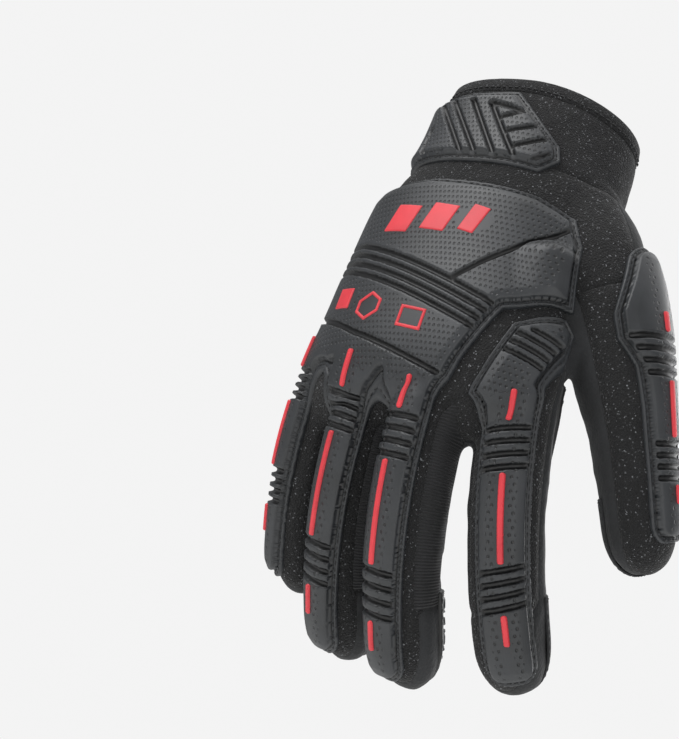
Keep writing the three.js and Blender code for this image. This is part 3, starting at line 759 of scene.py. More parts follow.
@dataclass
class Panels:
    """The sewn panels of the glove, cut from its skin along its seams."""

    hand: Hand
    finishes: dict[Cloth, bpy.types.Material]
    seam_reach: float = 1.7
    joints: tuple[float, ...] = (0.36, 0.66)
    folds: tuple[tuple[float, float], ...] = ((-0.022, 0.6), (0.0, 1.2), (0.026, 0.7))
    fold_width: float = 1.5
    swell_length: float = 26.0
    ripple: float = 0.13
    ripple_length: float = 6.5
    filled: float = 0.8
    least_width: float = 0.012
    cuts: tuple[PanelCut, ...] = (
        PanelCut("cuff_hem", Cloth.NEOPRENE, 240, pinch=0.5, swell=0.1),
        PanelCut("cuff", Cloth.NEOPRENE, 238),
        PanelCut("thumb_back", Cloth.TERRY, 135),
        PanelCut("thumb_front", Cloth.SUEDE, 135),
        PanelCut("fourchette_index_middle", Cloth.RIBBED, 215),
        PanelCut("fourchette_middle_ring", Cloth.RIBBED, 215),
        PanelCut("fourchette_ring_pinky", Cloth.RIBBED, 195),
        PanelCut("back_panel", Cloth.TERRY, 235),
        PanelCut("palm_panel", Cloth.SUEDE, 235),
    )

    def cut_all(self) -> dict[str, Surface]:
        """Cuts the skin into its panels, one after another."""
        hand = self.hand
        parts: dict[str, Surface] = {}
        rest = hand.skin.split(lambda s: hand.below_rim(s.points))[0]
        rest, parts["cuff_hem"] = rest.split(lambda s: hand.below_rim(s.points) - HEM_WIDTH)
        parts["cuff"], rest = rest.split(lambda s: s.points[:, 2] + CUFF_LENGTH)
        thumb, rest = rest.split(lambda s: hand.thumb_root(s.points))
        thumb_place = hand.digits["thumb"].place
        parts["thumb_back"], parts["thumb_front"] = thumb.split(lambda s: thumb_place(s.points).back)
        strips = ((0, "fourchette_index_middle"), (1, "fourchette_middle_ring"), (2, "fourchette_ring_pinky"))
        for one, name in strips:
            parts[name], rest = rest.split(lambda s, i=one: hand.between(s.points, i))
        parts["back_panel"], parts["palm_panel"] = rest.split(lambda s: hand.seam_depth(s.points))
        return parts

    def creases(self, surface: Surface) -> Array:
        """Depth of the bending creases on the palm's side of the fingers.

        Args:
            surface: The palm's panel.

        Returns:
            One depth for each point.
        """
        which, places = self.hand.lane(surface.points)
        depth = np.zeros(len(surface.points))
        for i, place in enumerate(places):
            inner = smooth_step(0.0, 6.0, -place.back) * (which == i)
            wander = waves(surface.points, 22, 5 + i) * 0.012
            for joint in self.joints:
                for shift, deep in self.folds:
                    away = (place.along + wander - joint - shift) * FINGER_REACH
                    depth += inner * deep * np.exp(-((away / self.fold_width) ** 2))
        return depth

    def build(self) -> None:
        parts = self.cut_all()
        for i, cut in enumerate(self.cuts):
            surface = parts[cut.node]
            away = surface.distance_from(surface.points[np.unique(surface.rim())])
            top = -cut.pinch * np.exp(-((away / self.seam_reach) ** 2))
            top += cut.swell * smooth_step(1.0, 7.0, away) * waves(surface.points, self.swell_length, i)
            fine = waves(surface.points, self.ripple_length, 40 + i)
            top += self.ripple * smooth_step(1.0, 4.0, away) * fine
            if cut.node == "palm_panel":
                top -= self.creases(surface)
            top = surface.relaxed(top, 2)
            points, faces = surface.thickened(top, np.full(len(top), -WALL))
            piece = make_piece(cut.node + "_cloth", points, faces, self.finishes[cut.cloth])
            if cut.cloth is Cloth.RIBBED:
                self.mark(piece, surface)
            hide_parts(cut.node)
            area = surface.area() * METRES**2
            length = cut.length * METRES
            width = max(round(area / length / self.filled, 4), self.least_width)

    def mark(self, piece: bpy.types.Object, surface: Surface) -> None:
        """Stores how far each point is along its finger, which the ribs follow.

        Args:
            piece: The strip's piece.
            surface: The skin that it was made from.
        """
        which, places = self.hand.lane(surface.points)
        along = np.choose(which, [p.along * FINGER_REACH for p in places])
        add_values(piece, "cloth", along, np.zeros_like(along), np.zeros_like(along))


PLATE = on_palm([
    (-0.62, 0.345), (-0.15, 0.325), (0.24, 0.35), (0.37, 0.38), (0.43, 0.46), (0.455, 0.63), (0.275, 0.69),
    (0.17, 0.9), (0.1, 0.94), (-0.04, 0.94), (-0.075, 0.905), (-0.11, 0.93), (-0.2, 0.91), (-0.27, 0.855),
    (-0.33, 0.88), (-0.62, 0.83),
])
INDEX_HEAD = on_palm([
    (0.32, 0.72), (0.44, 0.655), (0.49, 0.7), (0.45, 0.88), (0.42, 0.95), (0.31, 0.95), (0.25, 0.925),
])
UPPER_GROOVE = on_palm([(-0.6, 0.49), (-0.35, 0.53), (0.265, 0.7), (0.272, 0.72), (0.25, 0.76)])
CHEVRON_GROOVE = on_palm([(0.08, 0.645), (0.37, 0.425), (0.5, 0.42)])
LOWER_GROOVE = on_palm([(-0.6, 0.68), (-0.23, 0.803), (0.2, 0.91)])
INDEX_GROOVES = tuple(
    on_palm(line) for line in (
        [(0.325, 0.8), (0.5, 0.828)], [(0.335, 0.775), (0.5, 0.801)],
        [(0.345, 0.75), (0.5, 0.774)], [(0.385, 0.73), (0.5, 0.747)],
    )
)
STRAP_BACK = on_palm([
    (-0.62, 0.03), (0.03, 0.035), (0.23, 0.182), (0.25, 0.225), (0.2, 0.275), (-0.62, 0.24),
])
STRAP_PALM = on_palm([(-0.62, 0.02), (0.1, 0.02), (0.152, 0.1), (0.107, 0.215), (-0.62, 0.2)])
STRAP_GROOVES = tuple(
    on_palm(line) for line in (
        [(-0.286, 0.052), (-0.1, 0.245)], [(-0.275, 0.008), (-0.041, 0.248)], [(-0.137, 0.068), (0.034, 0.251)],
        [(-0.054, 0.082), (0.111, 0.255)], [(-0.054, 0.082), (0.076, 0.108), (0.087, 0.087)],
        [(0.011, 0.132), (0.102, 0.102)], [(0.043, 0.179), (0.146, 0.148)], [(0.086, 0.228), (0.184, 0.184)],
        [(0.166, 0.257), (0.224, 0.219)], [(-0.278, 0.145), (-0.276, 0.237), (-0.181, 0.241)],
    )
)
PALM_BAR = on_palm([
    (-0.46, 0.86), (-0.42, 0.91), (-0.31, 0.85), (-0.184, 0.955), (-0.05, 0.9), (0.086, 0.975), (0.24, 0.93),
    (0.44, 0.96), (0.47, 0.8), (0.33, 0.755), (-0.07, 0.77), (-0.386, 0.695), (-0.45, 0.74),
])
ULNAR_PAD = on_palm([
    (-0.39, 0.69), (-0.15, 0.69), (-0.13, 0.66), (-0.116, 0.453), (-0.08, 0.369), (-0.1, 0.305),
    (-0.228, 0.268), (-0.34, 0.285), (-0.39, 0.36), (-0.43, 0.6),
])
RIB_BAND = on_palm([
    (-0.6, 0.47), (-0.35, 0.51), (0.265, 0.68), (0.27, 0.77), (0.2, 0.79), (-0.36, 0.625), (-0.6, 0.6),
])
BEVEL = on_palm([(0.4, 0.41), (0.5, 0.42), (0.5, 0.66), (0.27, 0.72), (0.25, 0.67), (0.39, 0.605)])
MARK_PLACES = on_palm([
    (-0.335, 0.695), (-0.2, 0.732), (-0.01, 0.765), (-0.215, 0.465), (-0.06, 0.468), (0.075, 0.468),
])
EMBLEM_BARS = ((-0.27, 0.1), (-0.12, 0.1), (0.03, 0.06))
BADGES = (
    ((-0.37, 0.66), (-0.3, 0.67), (-0.3, 0.73), (-0.37, 0.72)),
    ((-0.2, 0.69), (-0.15, 0.715), (-0.15, 0.75), (-0.2, 0.775), (-0.25, 0.75), (-0.25, 0.715)),
    ((-0.06, 0.73), (0.04, 0.74), (0.04, 0.8), (-0.06, 0.79)),
)
TIP_TABLE = (
    ("grip_tip_pinky", "pinky", 0.71, -10), ("grip_tip_ring", "ring", 0.72, 0),
    ("grip_tip_middle", "middle", 0.72, 0), ("tip_patch_index", "index", 0.72, 0),
    ("tip_patch_thumb", "thumb", 0.8, 60),
)
PAD_BORDER = ((0, 0.3), (0.25, 0.9), (0.6, 1.15), (1.1, 0.8), (1.5, 0.75), (2.0, 1.05), (2.7, 1.0), (3.1, 0.5))
PATCH_EDGE = ((0, 0.55), (0.4, 0.95), (1.3, 0.75), (2.2, 1.0))
STRAP_BODY = (
    (0, 0.35), (0.22, 1.35), (0.6, 1.6), (1.3, 1.1), (1.9, 1.45), (2.4, 0.8), (3.0, 3.0), (4.2, 4.0),
)
STRAP_END = ((0, 0.4), (0.3, 1.4), (0.8, 1.6), (1.3, 1.2), (1.9, 1.6), (2.6, 1.6), (3.2, 1.2))
THUMB_PAD = on_palm([
    (0, 0.71), (0.11, 0.732), (0.32, 0.725), (0.385, 0.67), (0.35, 0.522), (0.29, 0.355), (0.23, 0.32),
    (0.107, 0.322), (0.04, 0.353), (-0.036, 0.486), (-0.049, 0.62),
])


def profile(rows: tuple[tuple[float, float], ...], depth: Array) -> Array:
    """The height at each depth inside an outline, from rows of depth and height."""
    table = np.array(rows)
    return np.interp(depth, table[:, 0], table[:, 1])


def round_groove(away: Array, half: float) -> Array:
    """How deep a round groove of some half width cuts, from 0 to 1, at a distance from its middle."""
    return np.sqrt(np.maximum(1 - (away / half) ** 2, 0))


def foot_shade(depth: Array) -> Array:
    """Where shade gathers at the foot of a raised body, just inside its flange."""
    return smooth_step(2.0, 2.4, depth) - 2 * smooth_step(2.4, 3.0, depth)


@dataclass(frozen=True)
class Arm:
    """The part of a guard along one digit: its ends, half widths, rib groups and red bars."""

    digit: str
    halves: tuple[tuple[float, float, float], ...]
    ribs: tuple[tuple[float, float], ...]
    bars: tuple[tuple[float, float], ...]
    slant: float = 0.0


ARMS = {
    "index": Arm("index", ((0.14, 10.2, 10.2), (0.94, 10.2, 10.2)), ((0.28, 0.38), (0.635, 0.73)),
                 ((0.18, 0.262), (0.395, 0.62), (0.745, 0.825)), 0.2),
    "middle": Arm("middle", ((0.1, 10, 10), (0.95, 10, 10)), ((0.28, 0.38), (0.665, 0.77)),
                  ((0.17, 0.265), (0.395, 0.65), (0.785, 0.86)), -0.14),
    "ring": Arm("ring", ((0.1, 10, 10), (0.945, 10, 10)), ((0.25, 0.34), (0.64, 0.735)),
                ((0.14, 0.235), (0.355, 0.625), (0.75, 0.83)), -0.14),
    "pinky": Arm("pinky", ((0.1, 9.5, 9.5), (0.93, 9.5, 9.5)), ((0.255, 0.34), (0.585, 0.68)),
                 ((0.13, 0.24), (0.355, 0.57), (0.695, 0.785))),
    "thumb": Arm("thumb", ((0.2, 6, 6), (0.3, 11, 10), (0.38, 15.5, 11), (0.44, 15.5, 11), (0.51, 11, 10),
                           (0.6, 10, 10), (0.92, 10, 10)),
                 ((0.44, 0.525), (0.69, 0.77)), ((0.375, 0.425), (0.54, 0.675), (0.785, 0.83))),
}


@dataclass
class Raised:
    """A raised part on the skin: its surface, its depth inside its outline and its height."""

    surface: Surface
    depth: Array
    height: Array

    def outer(self) -> Surface:
        """The outer face, lifted by its height."""
        points = self.surface.points + self.surface.normals * self.height[:, None]
        return Surface(points, self.surface.normals, self.surface.faces)


@dataclass
class Stitching:
    """Rows of thread that hold the sewn-on parts down."""

    finish: bpy.types.Material
    pitch: float = 2.9
    length: float = 2.1
    radius: float = 0.3
    sides: int = 5
    reach: float = 1.2
    form: tuple[tuple[float, float, float], ...] = (
        (-0.5, 0.35, -0.3), (-0.36, 0.85, -0.05), (0.0, 1.0, 0.0), (0.36, 0.85, -0.05), (0.5, 0.35, -0.3),
    )

    def sew(self, name: str, lines: list[Array], shift: float = 0.05) -> None:
        """Makes one piece of all the stitches along some lines.

        Args:
            name: The piece's name.
            lines: Points and normals along each row.
            shift: How far the thread's middle stands off the surface.
        """
        shares, swell, sunk = np.array(self.form).T
        turn = np.linspace(0, math.tau, self.sides + 1)[:-1]
        points, faces, start = [], [], 0
        for line in lines:
            steps = np.linalg.norm(np.diff(line[:, :3], axis=0), axis=1)
            run = np.concatenate([[0], np.cumsum(steps)])
            count = int(run[-1] / self.pitch)
            if count < 2:
                continue
            for middle in (np.arange(count) + 0.5) * run[-1] / count:
                at, up, ends = self.frame_at(line, run, middle)
                ahead = ends / max(np.linalg.norm(ends), 1e-6)
                across = np.cross(up, ahead)
                across /= max(np.linalg.norm(across), 1e-6)
                out = np.cross(ahead, across)
                spine = at + ahead * (shares * self.length)[:, None] + out * (sunk + shift)[:, None]
                ring = across * np.cos(turn)[:, None] + out * np.sin(turn)[:, None]
                rings = spine[:, None] + ring[None] * (swell * self.radius)[:, None, None]
                made, made_faces = tube(rings)
                points.append(made)
                faces.append(made_faces + start)
                start += len(made)
        if points:
            piece = make_piece(name, np.vstack(points), np.vstack(faces), self.finish)

    def frame_at(self, line: Array, run: Array, middle: float) -> tuple[Array, Array, Array]:
        """Finds where a stitch lies.

        Args:
            line: Points and normals along the row.
            run: The distance of each point along the row.
            middle: The distance of the stitch's middle.

        Returns:
            Its place, the way up and the way ahead.
        """
        here = np.array([np.interp(middle, run, c) for c in line.T])
        a = np.array([np.interp(middle - self.reach, run, c) for c in line[:, :3].T])
        b = np.array([np.interp(middle + self.reach, run, c) for c in line[:, :3].T])
        return here[:3], here[3:], b - a


@dataclass
class RaisedParts:
    """What every raised part shares: finding its place on the skin and giving it a body."""

    hand: Hand
    stitching: Stitching
    stitch_depth: float = 1.35
    margin: float = 1.6

    def region(self, depth: Measure, levels: tuple[float, ...], splits: int = 1) -> Raised:
        """The skin inside an outline, with finer faces and edges along some levels.

        Args:
            depth: Gives the distance inside the outline at some points.
            levels: The depths along which edges run.
            splits: How many times the skin's faces are split.

        Returns:
            The part, with no height yet.
        """
        skin = self.hand.skin
        near = depth(skin.points) > -self.margin
        surface = skin.part(near[skin.faces].any(axis=1))
        for _ in range(splits):
            surface = surface.finer()
        for level in levels:
            surface, _ = surface.aligned(lambda s, at=level: depth(s.points) - at)
        surface, _ = surface.split(lambda s: depth(s.points))
        return Raised(surface, depth(surface.points), np.zeros(len(surface.points)))

    def body(
        self, name: str, raised: Raised, low: float, finish: bpy.types.Material, slot: str
    ) -> bpy.types.Object:
        """Makes a raised part's body, open below, down to a height near the skin.

        Args:
            name: The node that it stands for.
            raised: Its surface and heights.
            low: The height of its foot.
            finish: Its material.
            slot: Not used.

        Returns:
            The piece.
        """
        bottom = np.full(len(raised.depth), low)
        points, faces = raised.surface.thickened(raised.height, bottom)
        count = len(raised.surface.faces)
        shown = np.vstack([faces[:count], faces[count * 2:]])
        piece = make_piece(name + "_moulded", points, shown, finish)
        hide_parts(name)
        return piece

    def sew_edge(self, name: str, raised: Raised) -> None:
        """Sews a row of stitches round a part, just inside its edge."""
        lines = raised.outer().contours(raised.depth - self.stitch_depth)
        self.stitching.sew("stitches_" + name, lines)

    def arm_depth(self, arm: Arm, points: Array) -> tuple[Array, Place]:
        """Measures an arm along a digit.

        Args:
            arm: The arm.
            points: The points.

        Returns:
            Their distance inside the arm's edge, and their place on the digit.
        """
        digit = self.hand.digits[arm.digit]
        place = digit.place(points)
        rows = np.array(arm.halves)
        left = np.interp(place.along, rows[:, 0], rows[:, 1])
        right = np.interp(place.along, rows[:, 0], rows[:, 2])
        middle, half = (left - right) / 2, (left + right) / 2
        centre = (rows[0, 0] + rows[-1, 0]) / 2
        reach = (rows[-1, 0] - rows[0, 0]) / 2 * digit.length
        depth = rounded_box(place.arc - middle, (place.along - centre) * digit.length, half, reach, 6.5)
        limit = 9.0 if arm.digit != "thumb" else 6.0
        return np.minimum(depth, limit - place.outside), place


@dataclass
class Guards(RaisedParts):
    """The moulded guards on the back of the hand, the fingers and the thumb, with their red bars."""

    rubber: bpy.types.Material | None = None
    red: bpy.types.Material | None = None
    groove_depth: float = 1.9
    rib_groove: float = 1.2
    plate_groove: float = 1.25
    body_top: float = 4.3
    bar_half: float = 0.95
    bar_corner: float = 0.85
    ribs_in_group: int = 4
    frame_width: float = 1.3
    section: tuple[tuple[float, float], ...] = (
        (0, 0.35), (0.22, 1.35), (0.55, 1.75), (0.95, 1.7), (1.3, 1.15), (1.65, 1.5), (2.05, 1.45),
        (2.4, 0.55), (2.7, 1.0), (3.0, 3.1), (3.35, 3.7), (6.2, 4.4),
    )

    def rib_cuts(self, arm: Arm, place: Place, length: float) -> Array:
        """How deep the grooves between the ribs of an arm cut.

        Args:
            arm: The arm.
            place: Where the points lie on its digit.
            length: The digit's length.

        Returns:
            One share for each point, from 0 to 1.
        """
        cut = np.zeros(len(place.along))
        for start, end in arm.ribs:
            for at in np.linspace(start, end, self.ribs_in_group):
                away = (place.along - at) * length - arm.slant * place.arc
                cut = np.maximum(cut, round_groove(away, self.rib_groove))
        return cut

    def guard(self, name: str, depths: Measure, arms: tuple[Arm, ...], lines: tuple[Array, ...]) -> None:
        """Builds one guard with its ribs, grooves and dimples.

        Args:
            name: The node that it stands for.
            depths: Distance inside its whole outline.
            arms: Its arms along the digits.
            lines: Grooves across its plate, as X and Z.
        """
        raised = self.region(depths, (2.4, 3.0, 3.35))
        points = raised.surface.points
        flat = points[:, [0, 2]]
        inner = smooth_step(2.7, 3.6, raised.depth)
        cut = np.zeros(len(points))
        pattern = np.stack([points[:, 0], -points[:, 2], np.ones(len(points))], axis=1)
        on_arm = np.zeros(len(points), dtype=bool)
        for arm in arms:
            depth, place = self.arm_depth(arm, points)
            length = self.hand.digits[arm.digit].length
            on_this = (depth > raised.depth - 0.8) & (place.along > arm.halves[0][0] + 0.02)
            cut = np.where(on_this, np.maximum(cut, self.rib_cuts(arm, place, length)), cut)
            across = np.abs(place.arc)
            rows = smooth_step(1.95, 2.05, across) * (1 - smooth_step(4.1, 4.2, across))
            cells = np.stack([across - 1.55, place.along * length, rows], axis=1)
            pattern[on_this] = cells[on_this]
            on_arm |= on_this
        for line in lines:
            cut = np.maximum(cut, round_groove(line_distance(line, flat), self.plate_groove) * (~on_arm))
        raised.height = profile(self.section, raised.depth) - cut * inner * self.groove_depth
        pattern[:, 2] *= smooth_step(4.3, 4.9, raised.depth) * (1 - smooth_step(0.0, 0.2, cut))
        if name == "guard_back":
            pattern[:, 2] *= self.plain_places(flat)
        else:
            for line in lines:
                pattern[:, 2] *= smooth_step(2.3, 2.7, line_distance(line, flat))
        piece = self.body(name, raised, FOOT, self.rubber, "rubber")
        add_values(piece, "cells", *pattern.T)
        # Painted shade: the first two values darken the colour at the foot inside the flange and in the
        # grooves.
        add_values(piece, "marks", foot_shade(raised.depth), cut * inner, raised.depth)
        self.sew_edge(name, raised)

    def plain_places(self, flat: Array) -> Array:
        """Where the plate keeps its dimples.

        Args:
            flat: The points' X and Z.

        Returns:
            1 at the dimples, 0 in the rib band, on the bevel and round the plain shapes.
        """
        plain = np.maximum(outline_depth(RIB_BAND, flat), outline_depth(BEVEL, flat))
        for centre in MARK_PLACES:
            away = flat - centre
            plain = np.maximum(plain, 6.6 - np.hypot(away[:, 0] * 0.9, away[:, 1] * 1.1))
        return 1 - smooth_step(-0.5, 0.3, plain)

    def plate_depth(self, points: Array) -> Array:
        """Distance inside the edge of the guard on the back of the hand.

        Args:
            points: The points.

        Returns:
            One distance for each point.
        """
        depth = np.minimum(outline_depth(PLATE, points[:, [0, 2]]), 2.0 - points[:, 1])
        for name in ("middle", "ring", "pinky"):
            depth = smooth_max(depth, self.arm_depth(ARMS[name], points)[0], 6.0)
        return depth

    def index_depth(self, points: Array) -> Array:
        """Distance inside the edge of the guard on the index finger."""
        head = np.minimum(outline_depth(INDEX_HEAD, points[:, [0, 2]]), 2.0 - points[:, 1])
        return smooth_max(head, self.arm_depth(ARMS["index"], points)[0], 2.5)

    def raised_shape(self, name: str, depth: Measure, top: float) -> None:
        """Builds a small rounded red shape that stands on a guard's body.

        Args:
            name: The node that it stands for.
            depth: Distance inside its outline.
            top: How far it stands off the body.
        """
        raised = self.region(depth, (0.5,), splits=2)
        edge = np.clip(raised.depth / 0.55, 0, 1)
        raised.height = self.body_top + top * np.sqrt(1 - (1 - edge) ** 2)
        self.body(name, raised, self.body_top - 0.7, self.red, "red_rubber")

    def build(self) -> None:
        """Builds the three guards, the bars on them and the plain shapes on the plate."""
        bands = tuple(UPPER_GROOVE + np.array([-1.2, -3.6]) * i for i in range(4))
        fingers = (ARMS["middle"], ARMS["ring"], ARMS["pinky"])
        self.guard("guard_back", self.plate_depth, fingers, (*bands, CHEVRON_GROOVE, LOWER_GROOVE))
        self.guard("guard_index", self.index_depth, (ARMS["index"],), INDEX_GROOVES)
        self.guard("guard_thumb", lambda p: self.arm_depth(ARMS["thumb"], p)[0], (ARMS["thumb"],), ())
        for name, arm in ARMS.items():
            digit = self.hand.digits[name]
            for i, (start, end) in enumerate(arm.bars):

                def bar(points: Array, a: float = start, b: float = end, on: Digit = digit) -> Array:
                    """Distance inside a bar's edge."""
                    place = on.place(points)
                    length = (place.along - (a + b) / 2) * on.length
                    half = np.full(len(points), self.bar_half)
                    depth = rounded_box(place.arc, length, half, (b - a) / 2 * on.length, self.bar_corner)
                    return np.minimum(depth, 9.0 - place.outside)

                self.raised_shape(f"bar_{name}_{i + 1}", bar, 1.0)
        self.plain_shapes()

    def plain_shapes(self) -> None:
        """Builds the slanted red bars and the three plain badges on the plate."""
        solid, framed = FAR, self.frame_width
        shapes = []
        for i, (x, width) in enumerate(EMBLEM_BARS):
            outline = ((x, 0.5), (x + 0.03, 0.42), (x + 0.03 + width, 0.43), (x + width, 0.51))
            shapes.append((f"emblem_bar_{i + 1}", outline, 0.5, solid))
        for i, (outline, band) in enumerate(zip(BADGES, (solid, framed, framed))):
            shapes.append((f"badge_{i + 1}", outline, 0.6, band))
        for name, outline, top, band in shapes:

            def inside(points: Array, corners: Array = on_palm(outline), wide: float = band) -> Array:
                """Distance inside a shape's edge, or inside its frame, on the back of the hand only."""
                depth = np.minimum(outline_depth(corners, points[:, [0, 2]]), -points[:, 1])
                return np.minimum(depth, wide - depth)

            self.raised_shape(name, inside, top)


def tumbling_blocks(u: Array, v: Array, size: float, gap: float) -> tuple[Array, Array]:
    """The relief of raised lozenges in threes that look like blocks.

    Args:
        u: Distance across.
        v: Distance along.
        size: From one hexagon of three lozenges to the next.
        gap: Width of the channels between the lozenges.

    Returns:
        A height from 0 to 1 and which of the three lozenges each point is on.
    """
    step = size * math.sqrt(3) / 2
    best = np.full(len(u), FAR)
    near_u, near_v = np.zeros(len(u)), np.zeros(len(u))
    row = np.round(v / step)
    for shift in (-1, 0, 1):
        line = row + shift
        start = (line % 2) * size / 2
        centre = np.round((u - start) / size) * size + start
        away = np.hypot(u - centre, v - line * step)
        closer = away < best
        near_u, near_v = np.where(closer, u - centre, near_u), np.where(closer, v - line * step, near_v)
        best = np.minimum(best, away)
    angle = np.degrees(np.arctan2(near_v, near_u)) % 360
    which = np.floor(((angle - 30) % 360) / 120)
    from_line = np.radians(((angle - 30) % 120) - 60)
    spoke = best * np.sin(np.radians(60) - np.abs(from_line))
    rim = np.full(len(u), FAR)
    for turn in (0, 60, 120):
        way = math.radians(turn)
        rim = np.minimum(rim, size / 2 - np.abs(near_u * math.cos(way) + near_v * math.sin(way)))
    inside = np.minimum(spoke, rim) - gap / 2
    fall = best / size * 1.6
    tilt = 0.62 + 0.38 * np.choose(which.astype(int), [fall, np.full(len(u), 0.55), 1 - fall])
    return smooth_step(-0.1, 0.45, inside) * tilt, which


@dataclass
class Grips(RaisedParts):
    """The grip pads and patches on the palm's side, and the wrist strap."""

    silicone: bpy.types.Material | None = None
    rubber: bpy.types.Material | None = None
    suede: bpy.types.Material | None = None
    block_size: float = 10.6
    tip_block_size: float = 8.48
    patch_length: float = 45.0
    filled: float = 0.8
    fold_lines: tuple[float, ...] = (3.0, 7.0, 11.0)
    channel: float = 0.9

    def pad(self, name: str, depth: Measure, flat: Measure, size: float) -> None:
        """Builds one grip pad with its border and its raised lozenges.

        Args:
            name: The node that it stands for.
            depth: Distance inside its outline.
            flat: Distances across and along it.
            size: The size of its hexagons of lozenges.
        """
        raised = self.region(depth, (3.0,))
        place = flat(raised.surface.points)
        blocks, which = tumbling_blocks(place[:, 0], place[:, 1], size, self.channel)
        inner = smooth_step(3.0, 3.4, raised.depth)
        border = profile(PAD_BORDER, raised.depth)
        raised.height = np.where(raised.depth < 3.05, border, 0.45 + 1.35 * blocks * inner)
        piece = self.body(name, raised, FOOT, self.silicone, "silicone")
        # The first value sets each lozenge face's painted light. Where the second is low, the channels get
        # painted shade and the border gets its dark tone.
        add_values(piece, "marks", which / 2 * inner + 0.5 * (1 - inner), blocks * inner, raised.depth)
        self.sew_edge(name, raised)

    def palm_pads(self) -> None:
        """Builds the three pads on the palm."""
        index = self.hand.digits["index"]

        def bar(points: Array) -> Array:
            """Distance inside the bar below the fingers and its run up the index finger."""
            depth = np.minimum(outline_depth(PALM_BAR, points[:, [0, 2]]), points[:, 1] - 4)
            place = index.place(points)
            length = (place.along - 0.34) * index.length
            around = np.abs(place.arc) - math.pi * index.width / 2
            run = rounded_box(around, length, np.full(len(points), 12.0), 0.28 * index.length, 5)
            return smooth_max(depth, np.minimum(run, 6 - place.outside), 2)

        def on_front(outline: Array) -> Measure:
            """Distance inside an outline on the palm."""
            return lambda p: np.minimum(outline_depth(outline, p[:, [0, 2]]), p[:, 1] - 4)

        pads = (("palm", bar), ("heel_ulnar", on_front(ULNAR_PAD)), ("heel_thumb", on_front(THUMB_PAD)))
        for name, depth in pads:
            self.pad("grip_" + name, depth, lambda p: p[:, [0, 2]], self.block_size)

    def tips(self) -> None:
        """Builds the grips and the leather patches on the finger tips."""
        for name, digit_name, start, facing in TIP_TABLE:
            digit = self.hand.digits[digit_name]
            turned = replace(digit, twist=facing)

            def depth(points: Array, on: Digit = turned, a: float = start) -> Array:
                """Distance inside the patch's edge."""
                place = on.place(points)
                value = np.minimum(-2 - place.back, (place.along - a) * on.length)
                return np.minimum(value, 5 - place.outside)

            def flat(points: Array, on: Digit = turned) -> Array:
                """Place across and along the tip."""
                place = on.place(points)
                return np.stack([place.side, place.along * on.length], axis=1)

            if name.startswith("grip"):
                self.pad(name, depth, flat, self.tip_block_size)
            else:
                self.patch(name, depth)

    def patch(self, name: str, depth: Measure) -> None:
        """Builds a sewn patch of thin leather.

        Args:
            name: The node that it stands for.
            depth: Distance inside its outline.
        """
        raised = self.region(depth, ())
        away = raised.depth
        raised.height = profile(PATCH_EDGE, away)
        points, faces = raised.surface.thickened(raised.height, np.full(len(away), 0.02))
        piece = make_piece(name + "_cloth", points, faces, self.suede)
        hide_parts(name)
        area = raised.surface.area() * METRES**2
        self.sew_edge(name, raised)

    def strap_depth(self, points: Array) -> Array:
        """Distance inside the strap's edge, on the back, round the outer side and on the palm.

        Args:
            points: The points.

        Returns:
            One distance for each point.
        """
        flat = points[:, [0, 2]]
        share = smooth_step(-9, 9, points[:, 1])
        return outline_depth(STRAP_BACK, flat) * (1 - share) + outline_depth(STRAP_PALM, flat) * share

    def strap(self) -> None:
        """Builds the wrist strap with its slanted ribs and its embossed end."""
        raised = self.region(self.strap_depth, (2.4, 3.0))
        points = raised.surface.points
        flat = points[:, [0, 2]]
        back = 1 - smooth_step(-6, 2, points[:, 1])
        inner = smooth_step(3.0, 3.8, raised.depth)
        blocks, _ = tumbling_blocks(points[:, 0], points[:, 2], 5.8, 0.5)
        front_end = smooth_step(-0.3, -0.2, points[:, 0] / PALM_WIDTH) * smooth_step(3.2, 3.8, raised.depth)
        low_body = profile(STRAP_END, raised.depth) + 0.55 * blocks * front_end
        cut = np.zeros(len(points))
        for line in STRAP_GROOVES:
            cut = np.maximum(cut, round_groove(line_distance(line, flat), 1.2))
        cut *= back * inner
        for y in self.fold_lines:
            groove = round_groove(points[:, 1] - y, 1.1) * (points[:, 0] < -30)
            cut = np.maximum(cut, groove * smooth_step(2.6, 3.4, raised.depth) * 0.5)
        raised.height = profile(STRAP_BODY, raised.depth) * back + low_body * (1 - back) - cut * 2.0
        piece = self.body("wrist_strap", raised, FOOT, self.rubber, "rubber")
        dimpled = back * smooth_step(4.4, 5.0, raised.depth) * (1 - smooth_step(0.0, 0.1, cut))
        add_values(piece, "cells", points[:, 0], points[:, 2], dimpled)
        # Painted shade: the first two values darken the colour at the foot inside the flange and in the
        # grooves.
        add_values(piece, "marks", foot_shade(raised.depth), cut, raised.depth)
        self.sew_edge("wrist_strap", raised)

    def build(self) -> None:
        """Builds the pads, the tips and the strap."""
        self.palm_pads()
        self.tips()
        self.strap()


